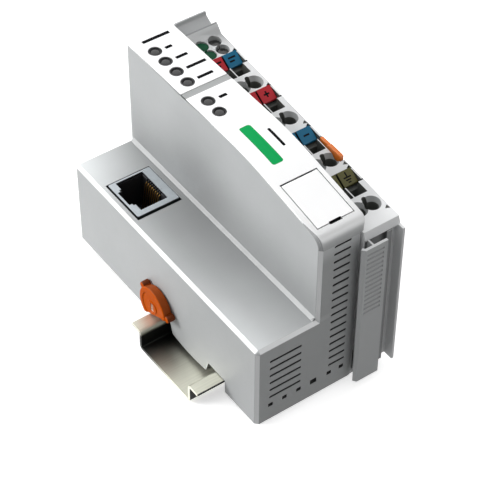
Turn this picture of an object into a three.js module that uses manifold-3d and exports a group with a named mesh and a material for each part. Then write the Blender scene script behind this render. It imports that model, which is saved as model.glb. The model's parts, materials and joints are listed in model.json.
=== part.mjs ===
// Head module of a clip-together input/output station, on a short piece of 35 mm top-hat rail.
// Millimetres. X runs across the width from the module's left side, Y along its height from the
// bottom end to the top end, Z from the rail's back to the module's front. Each finished piece is
// then shifted so that the origin is at the middle of the back of the whole part.
import * as THREE from "three";
import { mergeVertices } from "three/addons/utils/BufferGeometryUtils.js";
import Module from "manifold-3d";

const wasm = await Module();
wasm.setup();

// Driving dimensions
const GAP = 0.3; // space kept between neighbouring pieces
const OVER = 1; // how far a cutting shape runs past the face that it opens
const WALL = 1.8;
const BEVEL = 1.1; // edge bevels of the housing
const TOP_Y = 100; // top end face
const END_Y = 3.5; // bottom end face; the finger strip stands in front of it
const INNER_Y = END_Y + WALL; // inside of the bottom end wall
const OUTER_Y = TOP_Y - WALL; // inside of the top end wall
const BACK_Z = 2.8; // back edge of the side walls
const RAIL_FRONT = 7.5; // front of the rail's flanges
const FRONT_Z = RAIL_FRONT + 63.9;
const SHELF_Z = 34; // front of the low shelf at the left
const TOWER_X = 21; // left wall of the tall part
const TOWER_END = 36.4; // right wall of the tall part
const TOWER_CORNER = 3; // round corner at the right of the tall part's bottom end
const COVER_END = 37.6; // right edge of the front cover, which overhangs the terminals
const TERMINAL_X = TOWER_END + GAP;
const RIGHT_X = 49.3; // right side of the module
const PITCH_X = 51; // width with the data contacts
const PASS_Z = 10.4; // front of the opening that lets the back cover cross the inner walls

// 35 x 7.5 top-hat rail
const RAIL_Y = 37.4;
const RAIL_HALF = 17.5;
const RAIL_WEB = 13.5; // half width of the channel, outside
const RAIL_SHEET = 1;
const RAIL_START = -9.4;
const ORIGIN_X = (RAIL_START + PITCH_X) / 2;
const CHANNEL_LOW = RAIL_Y - RAIL_HALF - 0.5; // the slot that the rail passes through
const CHANNEL_HIGH = RAIL_Y + RAIL_HALF + 0.5;

// Left wall's back edge, which dips into the rail's channel in a shallow arc
const DIP = { y: 38, r: 47.8, swing: 10.7, low: 27.8, high: 48.1 };

// Front cover: flat, then a wide arc, then a straight slope, then a round nose
const FLAT_END = 50;
const ARC_END = 30;
const SLOPE = 0.17;
const TILT = Math.atan(SLOPE);
const ARC_R = (FLAT_END - ARC_END) / Math.sin(TILT);
const NOSE_R = 4;
const COVER_T = 2.2;
const DIVIDER = { y0: 68.8, y1: 71.4, deep: 0.2 }; // groove across the cover

// Service flap: x0 to x1 across, low to axisY along; t is its thickness and barrel its hinge's radius
const FLAP = { x0: 23.5, x1: 35.8, low: 8.4, axisY: 24.9, t: 1.2, barrel: 0.6, room: 0.35 };
const FLAP_LENGTH = (FLAP.axisY - FLAP.low) / Math.cos(TILT);
const FLAP_NOTCH = { x0: 27.3, x1: 31.6, deep: 0.9 };

// Indicators
const WINDOW_X = 26;
const WINDOW_Y = [92.2, 86.5, 80.7, 74.9, 64.4, 58.7];
const WINDOW_R = 2.15;
const GUIDE_R = 1; // light guide behind a window
const SUPPLY_Y = [89.2, 85]; // windows over the terminals

// Openings in the bottom end
const VENT = { z: 12.4, step: 3.05, half: 0.42 };
const SHELF_VENTS = { count: 6, x0: 4.6, x1: 15.8 };
const TOWER_VENTS = { count: 17, x0: 25.9, x1: 31.8 };
const CATCH_Z = [8.3, 9.7]; // row of small square openings under the vents
const SHELF_CATCHES = [5.1, 10.1, 15.2];
const TOWER_CATCHES = [26.3, 30.8];
const CATCH_HALF = 0.8;
const WIDE_CATCH = { x0: 19.4, x1: 21.7, z0: 8.1, z1: 10 };

// Terminals: the front is a plane that falls towards the bottom end
const TERMINAL_FALL = 0.097;
const TERMINAL_FOOT = 59.9;
const STRIP_WALL = 4.7; // end wall, set back behind the finger strip
const COLUMNS = [40.8, 45.5];
const ROWS = [68.5, 51.1, 31.4, 11.9]; // conductor openings
const DRIVER_UP = 6.1; // from a conductor opening to its screwdriver opening
const MARKER_UP = 11.4; // from a conductor opening to its marker
const DRIVER_SIDES = [[-2, 1.6], [-2.75, 1.75]]; // sides of the screwdriver openings, by column
const MARKER_RIGHT = [2.36, 3.1]; // the outer column's markers reach nearer the side
const CAVITY_Z = 47; // front of the terminals' hollow
const BUS_Z = 33;
const SPRING = { x: 1.4, low: 31, high: 45.4, sheet: 0.6 };
const LUG = { x0: 47.9, y0: 29.8, y1: 39.8, z0: 44.6 };
const DATA_SLOT = { y0: 60.4, y1: 81.6, z0: 12, z1: 22 };
const DATA_PITCH = 3.35;
const POWER_Y = [25, 44.5, 62];
const STRIP = { x0: 33.4, x1: 42.2, t: 0.9, top: 57.8, ribs: 14, ribZ: 32, ribStep: 1.8 };

// Rail lock
const DISC = { y: 53, z: 12, r: 6.9, front: -3.3, shaft: 2, flat: 2.9, lugR: 1.2, lugs: [40, 175] };
const LATCH = { x0: 6, x1: 16, y0: 52.6, y1: 74, z0: 4.2, z1: 6.1 };

// Network socket, sunk into the shelf
const JACK = { x0: 3.1, y0: 68.9, x1: 18.1, y1: 85.8, top: SHELF_Z - 0.1, sheet: 0.4 };
const BAY = { x0: 5.6, y0: 71.3, x1: 14.8, y1: 84.8, z0: 20.6 };
const CONTACTS = { y: 74.5, step: 1.02, count: 8 };

// Boards
const BOARD_Z = 14.6;
const BOARD_T = 1.6;
const ON_BOARD = BOARD_Z + BOARD_T + GAP;

const MATERIALS = {
  housing: { color: 0xc6c8ca, roughness: 0.5, metalness: 0 },
  terminal: { color: 0xe2e4e6, roughness: 0.5, metalness: 0 },
  cover: { color: 0xf2f3f4, roughness: 0.4, metalness: 0 },
  dark: { color: 0x2a2b2d, roughness: 0.5, metalness: 0 },
  window: { color: 0x4a4b4d, roughness: 0.3, metalness: 0 },
  green: { color: 0x0c5a34, roughness: 0.3, metalness: 0 },
  orange: { color: 0xe4641a, roughness: 0.5, metalness: 0 },
  blue: { color: 0x1c6c98, roughness: 0.5, metalness: 0 },
  red: { color: 0xbe303a, roughness: 0.5, metalness: 0 },
  olive: { color: 0x6c6a38, roughness: 0.5, metalness: 0 },
  board: { color: 0x1d5a38, roughness: 0.5, metalness: 0 },
  steel: { color: 0xb9bcbf, roughness: 0.3, metalness: 1 },
  rail: { color: 0xbdbca8, roughness: 0.35, metalness: 1 },
  gold: { color: 0xd0a640, roughness: 0.3, metalness: 1 },
  copper: { color: 0xb87a4a, roughness: 0.3, metalness: 1 },
};

// ---- shape helpers ----

function solid(geometry) {
  geometry.deleteAttribute("normal");
  geometry.deleteAttribute("uv");
  const merged = mergeVertices(geometry, 1e-4);
  const source = new wasm.Mesh({
    numProp: 3,
    vertProperties: new Float32Array(merged.getAttribute("position").array),
    triVerts: new Uint32Array(merged.getIndex().array),
  });
  return new wasm.Manifold(source);
}

function box(x0, y0, z0, x1, y1, z1) {
  const g = new THREE.BoxGeometry(x1 - x0, y1 - y0, z1 - z0);
  g.translate((x0 + x1) / 2, (y0 + y1) / 2, (z0 + z1) / 2);
  return solid(g);
}

// Turn a shape drawn in its own u, v with its length along w, so that w lies along an axis
const ALONG = {
  x: new THREE.Matrix4().set(0, 0, 1, 0, 1, 0, 0, 0, 0, 1, 0, 0, 0, 0, 0, 1),
  y: new THREE.Matrix4().set(0, 1, 0, 0, 0, 0, 1, 0, 1, 0, 0, 0, 0, 0, 0, 1),
  z: new THREE.Matrix4(),
};

function prism(axis, points, from, to) {
  const outline = new THREE.Shape(points.map(([u, v]) => new THREE.Vector2(u, v)));
  const g = new THREE.ExtrudeGeometry(outline, { depth: to - from, bevelEnabled: false });
  g.translate(0, 0, from);
  g.applyMatrix4(ALONG[axis]);
  return solid(g);
}

const prismX = (yz, x0, x1) => prism("x", yz, x0, x1); // points are [y, z]
const prismY = (zx, y0, y1) => prism("y", zx, y0, y1); // points are [z, x]
const prismZ = (xy, z0, z1) => prism("z", xy, z0, z1); // points are [x, y]

// Round bar or cone about a line: rX at (y, z) and rZ at (x, y)
function rod(axis, a, b, from, to, r, sides = 24, rEnd = r) {
  const g = new THREE.CylinderGeometry(rEnd, r, to - from, sides);
  g.rotateX(Math.PI / 2);
  g.translate(0, 0, (from + to) / 2);
  g.applyMatrix4(ALONG[axis]);
  g.translate(...(axis === "x" ? [0, a, b] : [a, b, 0]));
  return solid(g);
}

const join = (first, ...others) => others.reduce((sum, s) => sum.add(s), first);
const cut = (body, ...tools) => tools.reduce((rest, s) => rest.subtract(s), body);
const count = (n, make) => Array.from({ length: n }, (_, k) => make(k));

const part = new THREE.Group();
part.name = "head_module";

function add(name, body, material) {
  const mesh = body.getMesh();
  const g = new THREE.BufferGeometry();
  g.setAttribute("position", new THREE.BufferAttribute(new Float32Array(mesh.vertProperties), 3));
  g.setIndex(new THREE.BufferAttribute(new Uint32Array(mesh.triVerts), 1));
  g.translate(-ORIGIN_X, -TOP_Y / 2, 0);
  g.computeVertexNormals();
  const node = new THREE.Mesh(g, new THREE.MeshStandardMaterial(MATERIALS[material]));
  node.name = name;
  part.add(node);
}

// ---- shared curves ----

function arcPoints(cu, cv, r, from, to, steps) {
  return count(steps + 1, (i) => {
    const t = from + ((to - from) * i) / steps;
    return [cu + r * Math.cos(t), cv + r * Math.sin(t)];
  });
}

// Front of the cover at a height y along the module
function coverFront(y) {
  if (y >= FLAT_END) return FRONT_Z;
  if (y >= ARC_END) return FRONT_Z - ARC_R + Math.sqrt(ARC_R ** 2 - (FLAT_END - y) ** 2);
  return FRONT_Z - ARC_R * (1 - Math.cos(TILT)) - SLOPE * (ARC_END - y);
}

const NOSE_Y = END_Y + NOSE_R;
const NOSE_Z = coverFront(NOSE_Y) - NOSE_R / Math.cos(TILT); // the nose ends at this height

// Line of the cover's front from the top end to the end of its nose, set in by d
function coverLine(d) {
  const up = Math.PI / 2;
  const wide = arcPoints(FLAT_END, FRONT_Z - ARC_R, ARC_R - d, up, up + TILT, 5);
  const nose = arcPoints(NOSE_Y, NOSE_Z, NOSE_R - d, up + TILT, Math.PI, 6);
  return [[TOP_Y, FRONT_Z - d], ...wide, ...nose];
}

const terminalFront = (y) => TERMINAL_FOOT + TERMINAL_FALL * (y - END_Y);

// ---- openings in the housing ----

// Opening through the bottom end wall
const throughEnd = (x0, x1, z0, z1) => box(x0, END_Y - OVER, z0, x1, INNER_Y + OVER, z1);

function vents({ count: rows, x0, x1 }) {
  return count(rows, (k) => {
    const z = VENT.z + k * VENT.step;
    return throughEnd(x0, x1, z - VENT.half, z + VENT.half);
  });
}

function catches(centres) {
  const squares = centres.map((x) => throughEnd(x - CATCH_HALF, x + CATCH_HALF, ...CATCH_Z));
  return [...squares, throughEnd(WIDE_CATCH.x0, WIDE_CATCH.x1, WIDE_CATCH.z0, WIDE_CATCH.z1)];
}

// Slot for the rail in the left wall, whose edge dips into the rail's channel
function leftRailSlot() {
  const top = RAIL_FRONT + GAP;
  const swing = THREE.MathUtils.degToRad(DIP.swing);
  const down = -Math.PI / 2;
  const dip = arcPoints(DIP.y, BACK_Z + DIP.r, DIP.r, down - swing, down + swing, 6);
  return prismX([[CHANNEL_LOW, 0], [CHANNEL_LOW, top], [DIP.low, top], ...dip, [DIP.high, top],
    [CHANNEL_HIGH, top], [CHANNEL_HIGH, 0]], -OVER, WALL + OVER);
}

// ---- housing ----

function shelfHousing() {
  const x1 = TOWER_X - GAP;
  const side = prismX([[END_Y, BACK_Z], [TOP_Y, BACK_Z], [TOP_Y, SHELF_Z - BEVEL],
    [TOP_Y - BEVEL, SHELF_Z], [END_Y + BEVEL, SHELF_Z], [END_Y, SHELF_Z - BEVEL]], 0, x1);
  const plan = prismZ([[BEVEL, END_Y], [x1, END_Y], [x1, TOP_Y], [BEVEL, TOP_Y],
    [0, TOP_Y - BEVEL], [0, END_Y + BEVEL]], BACK_Z, SHELF_Z);
  const end = prismY([[BACK_Z, 0], [SHELF_Z - BEVEL, 0], [SHELF_Z, BEVEL],
    [SHELF_Z, x1], [BACK_Z, x1]], END_Y, TOP_Y);
  const hollow = box(WALL, INNER_Y, BACK_Z - OVER, TOWER_X + OVER, OUTER_Y, SHELF_Z - WALL);
  const jackHole = box(JACK.x0 - 2 * GAP, JACK.y0 - 1.3, SHELF_Z - WALL - OVER,
    JACK.x1 + GAP, JACK.y1 + GAP, SHELF_Z + OVER);
  const discHole = rod("x", DISC.y, DISC.z, -OVER, WALL + OVER, DISC.shaft + 0.35);
  return cut(side.intersect(plan).intersect(end), hollow, jackHole, leftRailSlot(), discHole,
    ...vents(SHELF_VENTS), ...catches(SHELF_CATCHES));
}

function towerHousing() {
  const inner = coverLine(COVER_T + GAP);
  const noseY = inner[inner.length - 1][0];
  const profile = [[END_Y, BACK_Z], [TOP_Y, BACK_Z], ...inner, [noseY, NOSE_Z - GAP],
    [END_Y, NOSE_Z - GAP]];
  const round = arcPoints(TOWER_END - TOWER_CORNER, END_Y + TOWER_CORNER, TOWER_CORNER,
    -Math.PI / 2, 0, 5);
  const plan = prismZ([[TOWER_X, END_Y + BEVEL], [TOWER_X + BEVEL, END_Y], ...round,
    [TOWER_END, TOP_Y], [TOWER_X, TOP_Y]], BACK_Z, FRONT_Z);
  const hollow = box(TOWER_X + 1.6, INNER_Y, BACK_Z - OVER, TOWER_END - 1.4, OUTER_Y, FRONT_Z);
  const sideWindow = box(TOWER_X - OVER, INNER_Y, 0, TOWER_X + 2, OUTER_Y, SHELF_Z - 2);
  const backPass = box(TOWER_X - OVER, INNER_Y, 0, TOWER_END + OVER, OUTER_Y, PASS_Z);
  return cut(prismX(profile, TOWER_X, TOWER_END).intersect(plan), hollow, sideWindow, backPass,
    ...vents(TOWER_VENTS), ...catches(TOWER_CATCHES));
}

function frontCover() {
  const shell = prismX([...coverLine(0), ...coverLine(COVER_T).reverse()], TOWER_X, COVER_END);
  const clearOfTerminals = box(TOWER_END, END_Y - OVER, 0, COVER_END + OVER, 12, FRONT_Z);
  const windows = WINDOW_Y.map((y) =>
    rod("z", WINDOW_X, y, FRONT_Z - COVER_T - OVER, FRONT_Z + OVER, WINDOW_R));
  const divider = box(TOWER_X - OVER, DIVIDER.y0, FRONT_Z - DIVIDER.deep,
    COVER_END + OVER, DIVIDER.y1, FRONT_Z + OVER);
  return cut(shell, ...windows, divider, flapSpace(), clearOfTerminals);
}

// ---- service flap, in its own frame: u along it from the hinge's axis, v out of the cover ----

function onSlope(points, x0, x1) {
  const c = Math.cos(TILT);
  const s = Math.sin(TILT);
  const axisZ = coverFront(FLAP.axisY) - FLAP.barrel / c;
  const turned = points.map(([u, v]) => [FLAP.axisY + u * c - v * s, axisZ + u * s + v * c]);
  return prismX(turned, x0, x1);
}

function flapSpace() {
  const end = -FLAP_LENGTH - FLAP.room;
  const floor = FLAP.barrel - FLAP.t - FLAP.room;
  const hinge = FLAP.barrel + FLAP.room;
  return onSlope([[end, floor], [hinge, floor], [hinge, 3], [end, 3]],
    FLAP.x0 - FLAP.room, FLAP.x1 + FLAP.room);
}

function serviceFlap() {
  const low = FLAP.barrel - FLAP.t;
  const barrel = arcPoints(0, 0, FLAP.barrel, -Math.PI / 2, Math.PI / 2, 8);
  const plate = onSlope([[-FLAP_LENGTH, low], ...barrel, [-FLAP_LENGTH, FLAP.barrel]],
    FLAP.x0, FLAP.x1);
  const end = -FLAP_LENGTH - OVER;
  const into = FLAP_NOTCH.deep - FLAP_LENGTH;
  const notch = onSlope([[end, -2], [into, -2], [into, 2], [end, 2]], FLAP_NOTCH.x0, FLAP_NOTCH.x1);
  return cut(plate, notch);
}

// ---- back cover, with the seat for the rail ----

function backCover() {
  const t = 2;
  const low = CHANNEL_LOW - 0.4;
  const high = CHANNEL_HIGH + 0.4;
  const seat = RAIL_FRONT + 0.5;
  const y0 = INNER_Y + GAP;
  const y1 = OUTER_Y - GAP;
  const hook = { y: 22.2, z0: 4.4, z1: 6.1 }; // the fixed hook under the rail's lower flange
  const sheet = prismX([[y0, 0], [low, 0], [low, hook.z0], [hook.y, hook.z0], [hook.y, hook.z1],
    [low, hook.z1], [low, seat], [high, seat], [high, 0], [y1, 0], [y1, t], [high + t, t],
    [high + t, seat + t], [low - t, seat + t], [low - t, t], [y0, t]],
  WALL + GAP, RIGHT_X - WALL - GAP);
  const latchWindow = box(LATCH.x0 - 0.4, high - OVER, LATCH.z0 - 0.6,
    LATCH.x1 + 0.4, high + t + OVER, LATCH.z1 + 0.5);
  return cut(sheet, latchWindow);
}

// ---- terminals ----

// Section of the terminal housing: raised lip and ridge at the top end, plane front, and a
// rounded band over the finger strip
function terminalSection() {
  return [[STRIP_WALL, BACK_Z], [TOP_Y, BACK_Z], [TOP_Y, FRONT_Z], [99.3, FRONT_Z],
    [99, 70.3], [94.3, 67.5], [93.9, 71], [93.3, 71], [91, terminalFront(91)],
    [4.3, terminalFront(4.3)], [3.4, 57.3], [3.8, 56.9], [STRIP_WALL, 56.6]];
}

// The end wall's step, guide rib and left edge stand in front of the wall behind the strip
function endRibs() {
  const back = STRIP_WALL + OVER;
  const step = box(44.4, 3.3, BACK_Z, 46.2, back, 57.1);
  const guide = box(48.4, 1.2, BACK_Z, RIGHT_X, back, 57.6);
  const leftEdge = box(TERMINAL_X, END_Y, BACK_Z, TERMINAL_X + 0.9, back, 57.1);
  return [step, guide, leftEdge];
}

function terminalHousing() {
  const wallX = RIGHT_X - 1.4;
  const inner = STRIP_WALL + 1.4;
  const hollow = box(TERMINAL_X + 1.4, inner, BACK_Z - OVER, wallX, OUTER_Y, CAVITY_Z);
  const backPass = box(TERMINAL_X - OVER, inner, 0, TERMINAL_X + 3, OUTER_Y, PASS_Z);
  const underCover = box(TERMINAL_X - OVER, END_Y - OVER, 67.3, COVER_END + GAP, TOP_Y + OVER,
    FRONT_Z + OVER);
  const throughSide = (y0, z0, y1, z1) => box(wallX - OVER, y0, z0, RIGHT_X + OVER, y1, z1);
  const lugSlot = box(LUG.x0 - GAP, LUG.y0 - 0.4, LUG.z0 - 0.6, RIGHT_X + OVER, LUG.y1 + 0.4, FRONT_Z);
  const sideOpenings = [
    throughSide(DATA_SLOT.y0, DATA_SLOT.z0, DATA_SLOT.y1, DATA_SLOT.z1),
    throughSide(CHANNEL_LOW, -OVER, CHANNEL_HIGH, RAIL_FRONT + GAP),
    ...POWER_Y.map((y) => throughSide(y - 1.3, 29, y + 1.3, 40)),
  ];
  const holes = COLUMNS.flatMap((_, c) => ROWS.flatMap((y) => terminalOpenings(c, y)));
  const windows = COLUMNS.flatMap((x) => SUPPLY_Y.map((y) =>
    rod("z", x, y, CAVITY_Z - OVER, FRONT_Z, WINDOW_R)));
  return cut(join(prismX(terminalSection(), TERMINAL_X, RIGHT_X), ...endRibs()), hollow, backPass,
    underCover, lugSlot, ...sideOpenings, ...holes, ...windows);
}

// Openings of one terminal: a funnel and bore for the conductor with a test slit beside it, a
// square opening for a screwdriver, and the marker's pocket
function terminalOpenings(column, y) {
  const x = COLUMNS[column];
  const [left, right] = DRIVER_SIDES[column];
  const z = terminalFront(y);
  const low = CAVITY_Z - OVER;
  const driver = y + DRIVER_UP;
  const marker = y + MARKER_UP;
  const markerZ = terminalFront(marker);
  return [
    rod("z", x, y, z - 3.6, z + OVER, 1.7, 20, 2.8),
    rod("z", x, y, low, z - 3, 1.8, 12),
    rod("z", x - 0.75, y + 2.3, z - 3, z + OVER, 0.8, 10),
    box(x + left, driver - 1.8, low, x + right, driver + 2.6, z + 2),
    box(x - 2.36, marker - 2.85, markerZ - 3, x + MARKER_RIGHT[column], marker + 2.85, markerZ + 3),
  ];
}

// Marker clip: a block with a hollow foot, whose face slants down towards the screwdriver opening
function marker(column, y) {
  const x = COLUMNS[column];
  const right = x + MARKER_RIGHT[column] - GAP;
  const z = terminalFront(y);
  const foot = z - 2.6;
  const block = prismX([[y - 1.6, foot], [y + 2.4, foot], [y + 2.4, z + 0.9],
    [y - 1.6, z - 1.5]], x - 2, right);
  return cut(block, box(x - 1.2, y - 0.6, foot - OVER, x + 1.2, y + 1.6, z - 1.4));
}

// Cage of bent strip that grips a conductor against the bus bar
function clampSpring(x, y) {
  const { x: half, low, high, sheet } = SPRING;
  const outer = box(x - half, y - 2.4, low, x + half, y + 7.6, high);
  const inside = box(x - half - OVER, y - 2.4 + 0.5, low + sheet, x + half + OVER, y + 7.6 - 0.5,
    high - sheet);
  const entry = rod("z", x, y, high - sheet - OVER, high + OVER, 1.1, 12);
  return cut(outer, inside, entry);
}

function busBar(row, x0, x1) {
  const y = ROWS[row];
  const low = y - 1.2;
  const high = y + 5.4;
  return prismX([[low, BUS_Z], [high, BUS_Z], [high, BUS_Z + 2], [low, BUS_Z + 1.2]], x0, x1);
}

function releaseLug() {
  const z = terminalFront(35) + 1.1;
  const x1 = RIGHT_X - 0.1;
  const stem = box(LUG.x0 + 0.2, 35.9, LUG.z0, x1, LUG.y1, z - 0.2);
  const pad = box(LUG.x0, LUG.y0, LUG.z0, x1, 36.2, z - 0.35);
  const grip = prismX([[LUG.y0, z - 0.8], [36.2, z - 0.8], [35.4, z], [30.6, z - 0.25]], LUG.x0, x1);
  return join(stem, pad, grip);
}

// Ribbed strip for the fingers, on a slanted web
function fingerStrip() {
  const { x0, x1, t, top } = STRIP;
  const plate = prismZ([[x0 + 0.9, 0], [x1, 0], [x1, t], [x0 + 1.3, t], [x0 + 0.7, 1.6], [x0, 1.1]],
    BACK_Z, top);
  const web = box(37.3, t / 2, BACK_Z, 37.9, END_Y - GAP, top - 1);
  const grooves = count(STRIP.ribs, (k) => {
    const z = STRIP.ribZ + k * STRIP.ribStep;
    return prismX([[-1, z - 0.75], [0, z - 0.5], [t / 2, z], [0, z + 0.5], [-1, z + 0.75]],
      x0 + 1.5, x1 - 1.3);
  });
  return cut(join(plate, web), ...grooves);
}

// ---- rail lock ----

// Disc with one flat, a coin slot and two small lugs on its rim
function lockingDisc() {
  const { y, z, r, flat, front } = DISC;
  const down = [-0.415, -0.91]; // direction of the flat's normal
  const along = [-down[1], down[0]];
  const at = (u, v) => [y + down[0] * u + along[0] * v, z + down[1] * u + along[1] * v];
  const far = r + 4;
  const face = rod("x", y, z, front, -0.4, r, 40);
  const below = prismX([at(flat, -far), at(far, -far), at(far, far), at(flat, far)], -5, 1);
  const lugs = DISC.lugs.map((degrees) => {
    const a = THREE.MathUtils.degToRad(degrees);
    const out = r + 0.4;
    return rod("x", y + out * Math.cos(a), z + out * Math.sin(a), -3, -0.4, DISC.lugR, 12);
  });
  const slot = box(-4, y - 0.6, z - 1.4, -2.1, y + 0.6, z + 1.4);
  const shaft = rod("x", y, z, -0.6, 4.2, DISC.shaft, 20);
  return cut(join(cut(face, below), ...lugs, shaft), slot);
}

function railLatch() {
  const tongue = box(LATCH.x0, LATCH.y0, LATCH.z0, LATCH.x1, LATCH.y1, LATCH.z1);
  const tab = box(LATCH.x0, 60, LATCH.z1 - OVER, LATCH.x0 + 2, 62, 13.2);
  return join(tongue, tab);
}

function mountingRail() {
  const half = [[RAIL_WEB, 0], [RAIL_WEB, RAIL_FRONT - RAIL_SHEET],
    [RAIL_HALF, RAIL_FRONT - RAIL_SHEET], [RAIL_HALF, RAIL_FRONT],
    [RAIL_WEB - RAIL_SHEET, RAIL_FRONT], [RAIL_WEB - RAIL_SHEET, RAIL_SHEET]];
  const mirrored = half.map(([y, z]) => [-y, z]).reverse();
  return prismX([...half, ...mirrored].map(([y, z]) => [RAIL_Y + y, z]), RAIL_START, PITCH_X);
}

// Bent strip that presses on the rail's channel
function earthSpring() {
  return prismX([[29, 7.7], [29, 7.2], [31.5, 7.2], [37.5, 1.3], [43.5, 7.2], [46, 7.2], [46, 7.7],
    [43.3, 7.7], [37.5, 2], [31.7, 7.7]], 8, 16);
}

// ---- network socket ----

function jackShield() {
  const { x0, y0, x1, y1, top, sheet } = JACK;
  const outer = box(x0, y0, ON_BOARD, x1, y1, top);
  const inner = box(x0 + sheet, y0 + sheet, BOARD_Z, x1 - sheet, y1 - sheet, top - 0.5);
  const mouth = box(BAY.x0, BAY.y0 - GAP, top - 2, BAY.x1 + 0.4, BAY.y1 + GAP, top + OVER);
  const latch = box(3.9, 74, top - 2, BAY.x0 + 0.4, 82, top + OVER);
  return cut(outer, inner, mouth, latch);
}

function jackInsert() {
  const inset = JACK.sheet + GAP;
  const { x0, y0, x1, y1, top } = JACK;
  const block = box(x0 + inset, y0 + inset, ON_BOARD + GAP, x1 - inset, y1 - inset, top - 0.8);
  const bay = box(BAY.x0, BAY.y0, BAY.z0, BAY.x1, BAY.y1, top + OVER);
  const latchBay = box(4.2, 74.2, 22, BAY.x0 + 0.4, 81.6, top + OVER);
  return cut(block, bay, latchBay);
}

// Comb of contact wires that slant down from the bay's right wall
function jackContacts() {
  const bar = box(13.7, 72.4, 31, BAY.x1 - GAP, 83.6, 32);
  const wires = count(CONTACTS.count, (k) => {
    const y = CONTACTS.y + k * CONTACTS.step;
    return prismY([[31.5, 14.3], [31.5, 13.9], [21.4, 12.2], [21.4, 12.6]], y - 0.22, y + 0.22);
  });
  return join(bar, ...wires);
}

// ---- electronics ----

function mainBoard() {
  return box(2.4, 6, BOARD_Z, 34.4, 97.5, BOARD_Z + BOARD_T);
}

function indicatorBoard() {
  return box(23.2, 40, 57.6, 34.4, 97.4, 57.6 + BOARD_T);
}

function riserBoard() {
  return box(32.4, 44, ON_BOARD, 32.4 + BOARD_T, 96, 57.6 - GAP);
}

function terminalBoard() {
  return box(41.8, 8, 12, 41.8 + BOARD_T, 94, 30);
}

function chip(x0, y0, x1, y1, height) {
  return box(x0, y0, ON_BOARD, x1, y1, ON_BOARD + height);
}

function capacitor(x, y, r, height) {
  return rod("z", x, y, ON_BOARD, ON_BOARD + height, r, 20);
}

function lightGuide(x, y, front, bottom) {
  const head = rod("z", x, y, front - 2.6, front, WINDOW_R - 0.2);
  const stem = rod("z", x, y, bottom, front - 2, GUIDE_R, 12);
  return join(head, stem);
}

// Row of sprung contact blades that stand out of the right side
function dataContacts() {
  const bar = box(45.6, 61, 12.8, 46.8, 81, 14.4);
  const fingers = count(6, (k) => {
    const y = 62.6 + k * DATA_PITCH;
    return prismY([[13, 46.6], [17.4, PITCH_X], [20.8, 48], [20.4, 47.6], [17.4, PITCH_X - 0.7],
      [13.8, 46.6]], y - 0.8, y + 0.8);
  });
  return join(bar, ...fingers);
}

// Forked contact for the next module's power blade
function powerContact(y) {
  const block = box(44.6, y - 1, 30, RIGHT_X - 0.4, y + 1, 39);
  return cut(block, box(46.4, y - 0.4, 30 - OVER, RIGHT_X, y + 0.4, 39 + OVER));
}

// ---- the part ----

add("shelf_housing", shelfHousing(), "housing");
add("tower_housing", towerHousing(), "housing");
add("front_cover", frontCover(), "cover");
add("service_flap", serviceFlap(), "cover");
add("back_cover", backCover(), "housing");
add("terminal_housing", terminalHousing(), "terminal");
add("finger_strip", fingerStrip(), "housing");
WINDOW_Y.forEach((y, k) => {
  add(`status_window_${k + 1}`, lightGuide(WINDOW_X, y, FRONT_Z - 0.1, 59.5), "window");
});
COLUMNS.forEach((x, c) => SUPPLY_Y.forEach((y, k) => {
  const guide = lightGuide(x, y, terminalFront(y) - 0.2, 48);
  add(`supply_window_${2 * c + k + 1}`, guide, c ? "window" : "green");
}));
const MARKER_COLOURS = [["red", "blue"], ["red", "red"], ["blue", "blue"], ["olive", "olive"]];
COLUMNS.forEach((x, c) => ROWS.forEach((y, r) => {
  add(`marker_${4 * c + r + 1}`, marker(c, y + MARKER_UP), MARKER_COLOURS[r][c]);
  add(`clamp_spring_${4 * c + r + 1}`, clampSpring(x, y), "steel");
}));
add("bus_bar_24v", busBar(0, 38.4, 41.5), "copper");
add("bus_bar_0v", busBar(0, 43.6, 47.5), "copper");
["plus", "minus", "earth"].forEach((name, k) => {
  add(`bus_bar_${name}`, busBar(k + 1, 38.4, 47.5), "copper");
});
add("release_lug", releaseLug(), "orange");
add("locking_disc", lockingDisc(), "orange");
add("rail_latch", railLatch(), "steel");
add("mounting_rail", mountingRail(), "rail");
add("earth_spring", earthSpring(), "steel");
add("jack_shield", jackShield(), "steel");
add("jack_insert", jackInsert(), "dark");
add("jack_contacts", jackContacts(), "gold");
add("main_board", mainBoard(), "board");
add("indicator_board", indicatorBoard(), "board");
add("riser_board", riserBoard(), "board");
add("terminal_board", terminalBoard(), "board");
add("processor_chip", chip(12, 28, 24, 40, 1.4), "dark");
add("network_chip", chip(6, 54, 13, 61, 1.1), "dark");
add("network_transformer", chip(21, 66, 30, 82, 6), "dark");
add("supply_capacitor_1", capacitor(27, 14, 4, 14), "dark");
add("supply_capacitor_2", capacitor(27, 23.5, 4, 14), "dark");
add("data_contacts", dataContacts(), "gold");
POWER_Y.forEach((y, k) => add(`power_contact_${k + 1}`, powerContact(y), "copper"));

export default part;
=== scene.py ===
"""Looks of a rail-mounted network head module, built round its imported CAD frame.

Shapes are drawn in millimetres in the module's own directions: x across the width from the left
side, y along the height from the bottom end, z from the rail's back to the front. place() turns
them into the frame's metres.
"""

import json
import math

import bmesh
import bpy
from mathutils import Matrix, Vector


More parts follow.
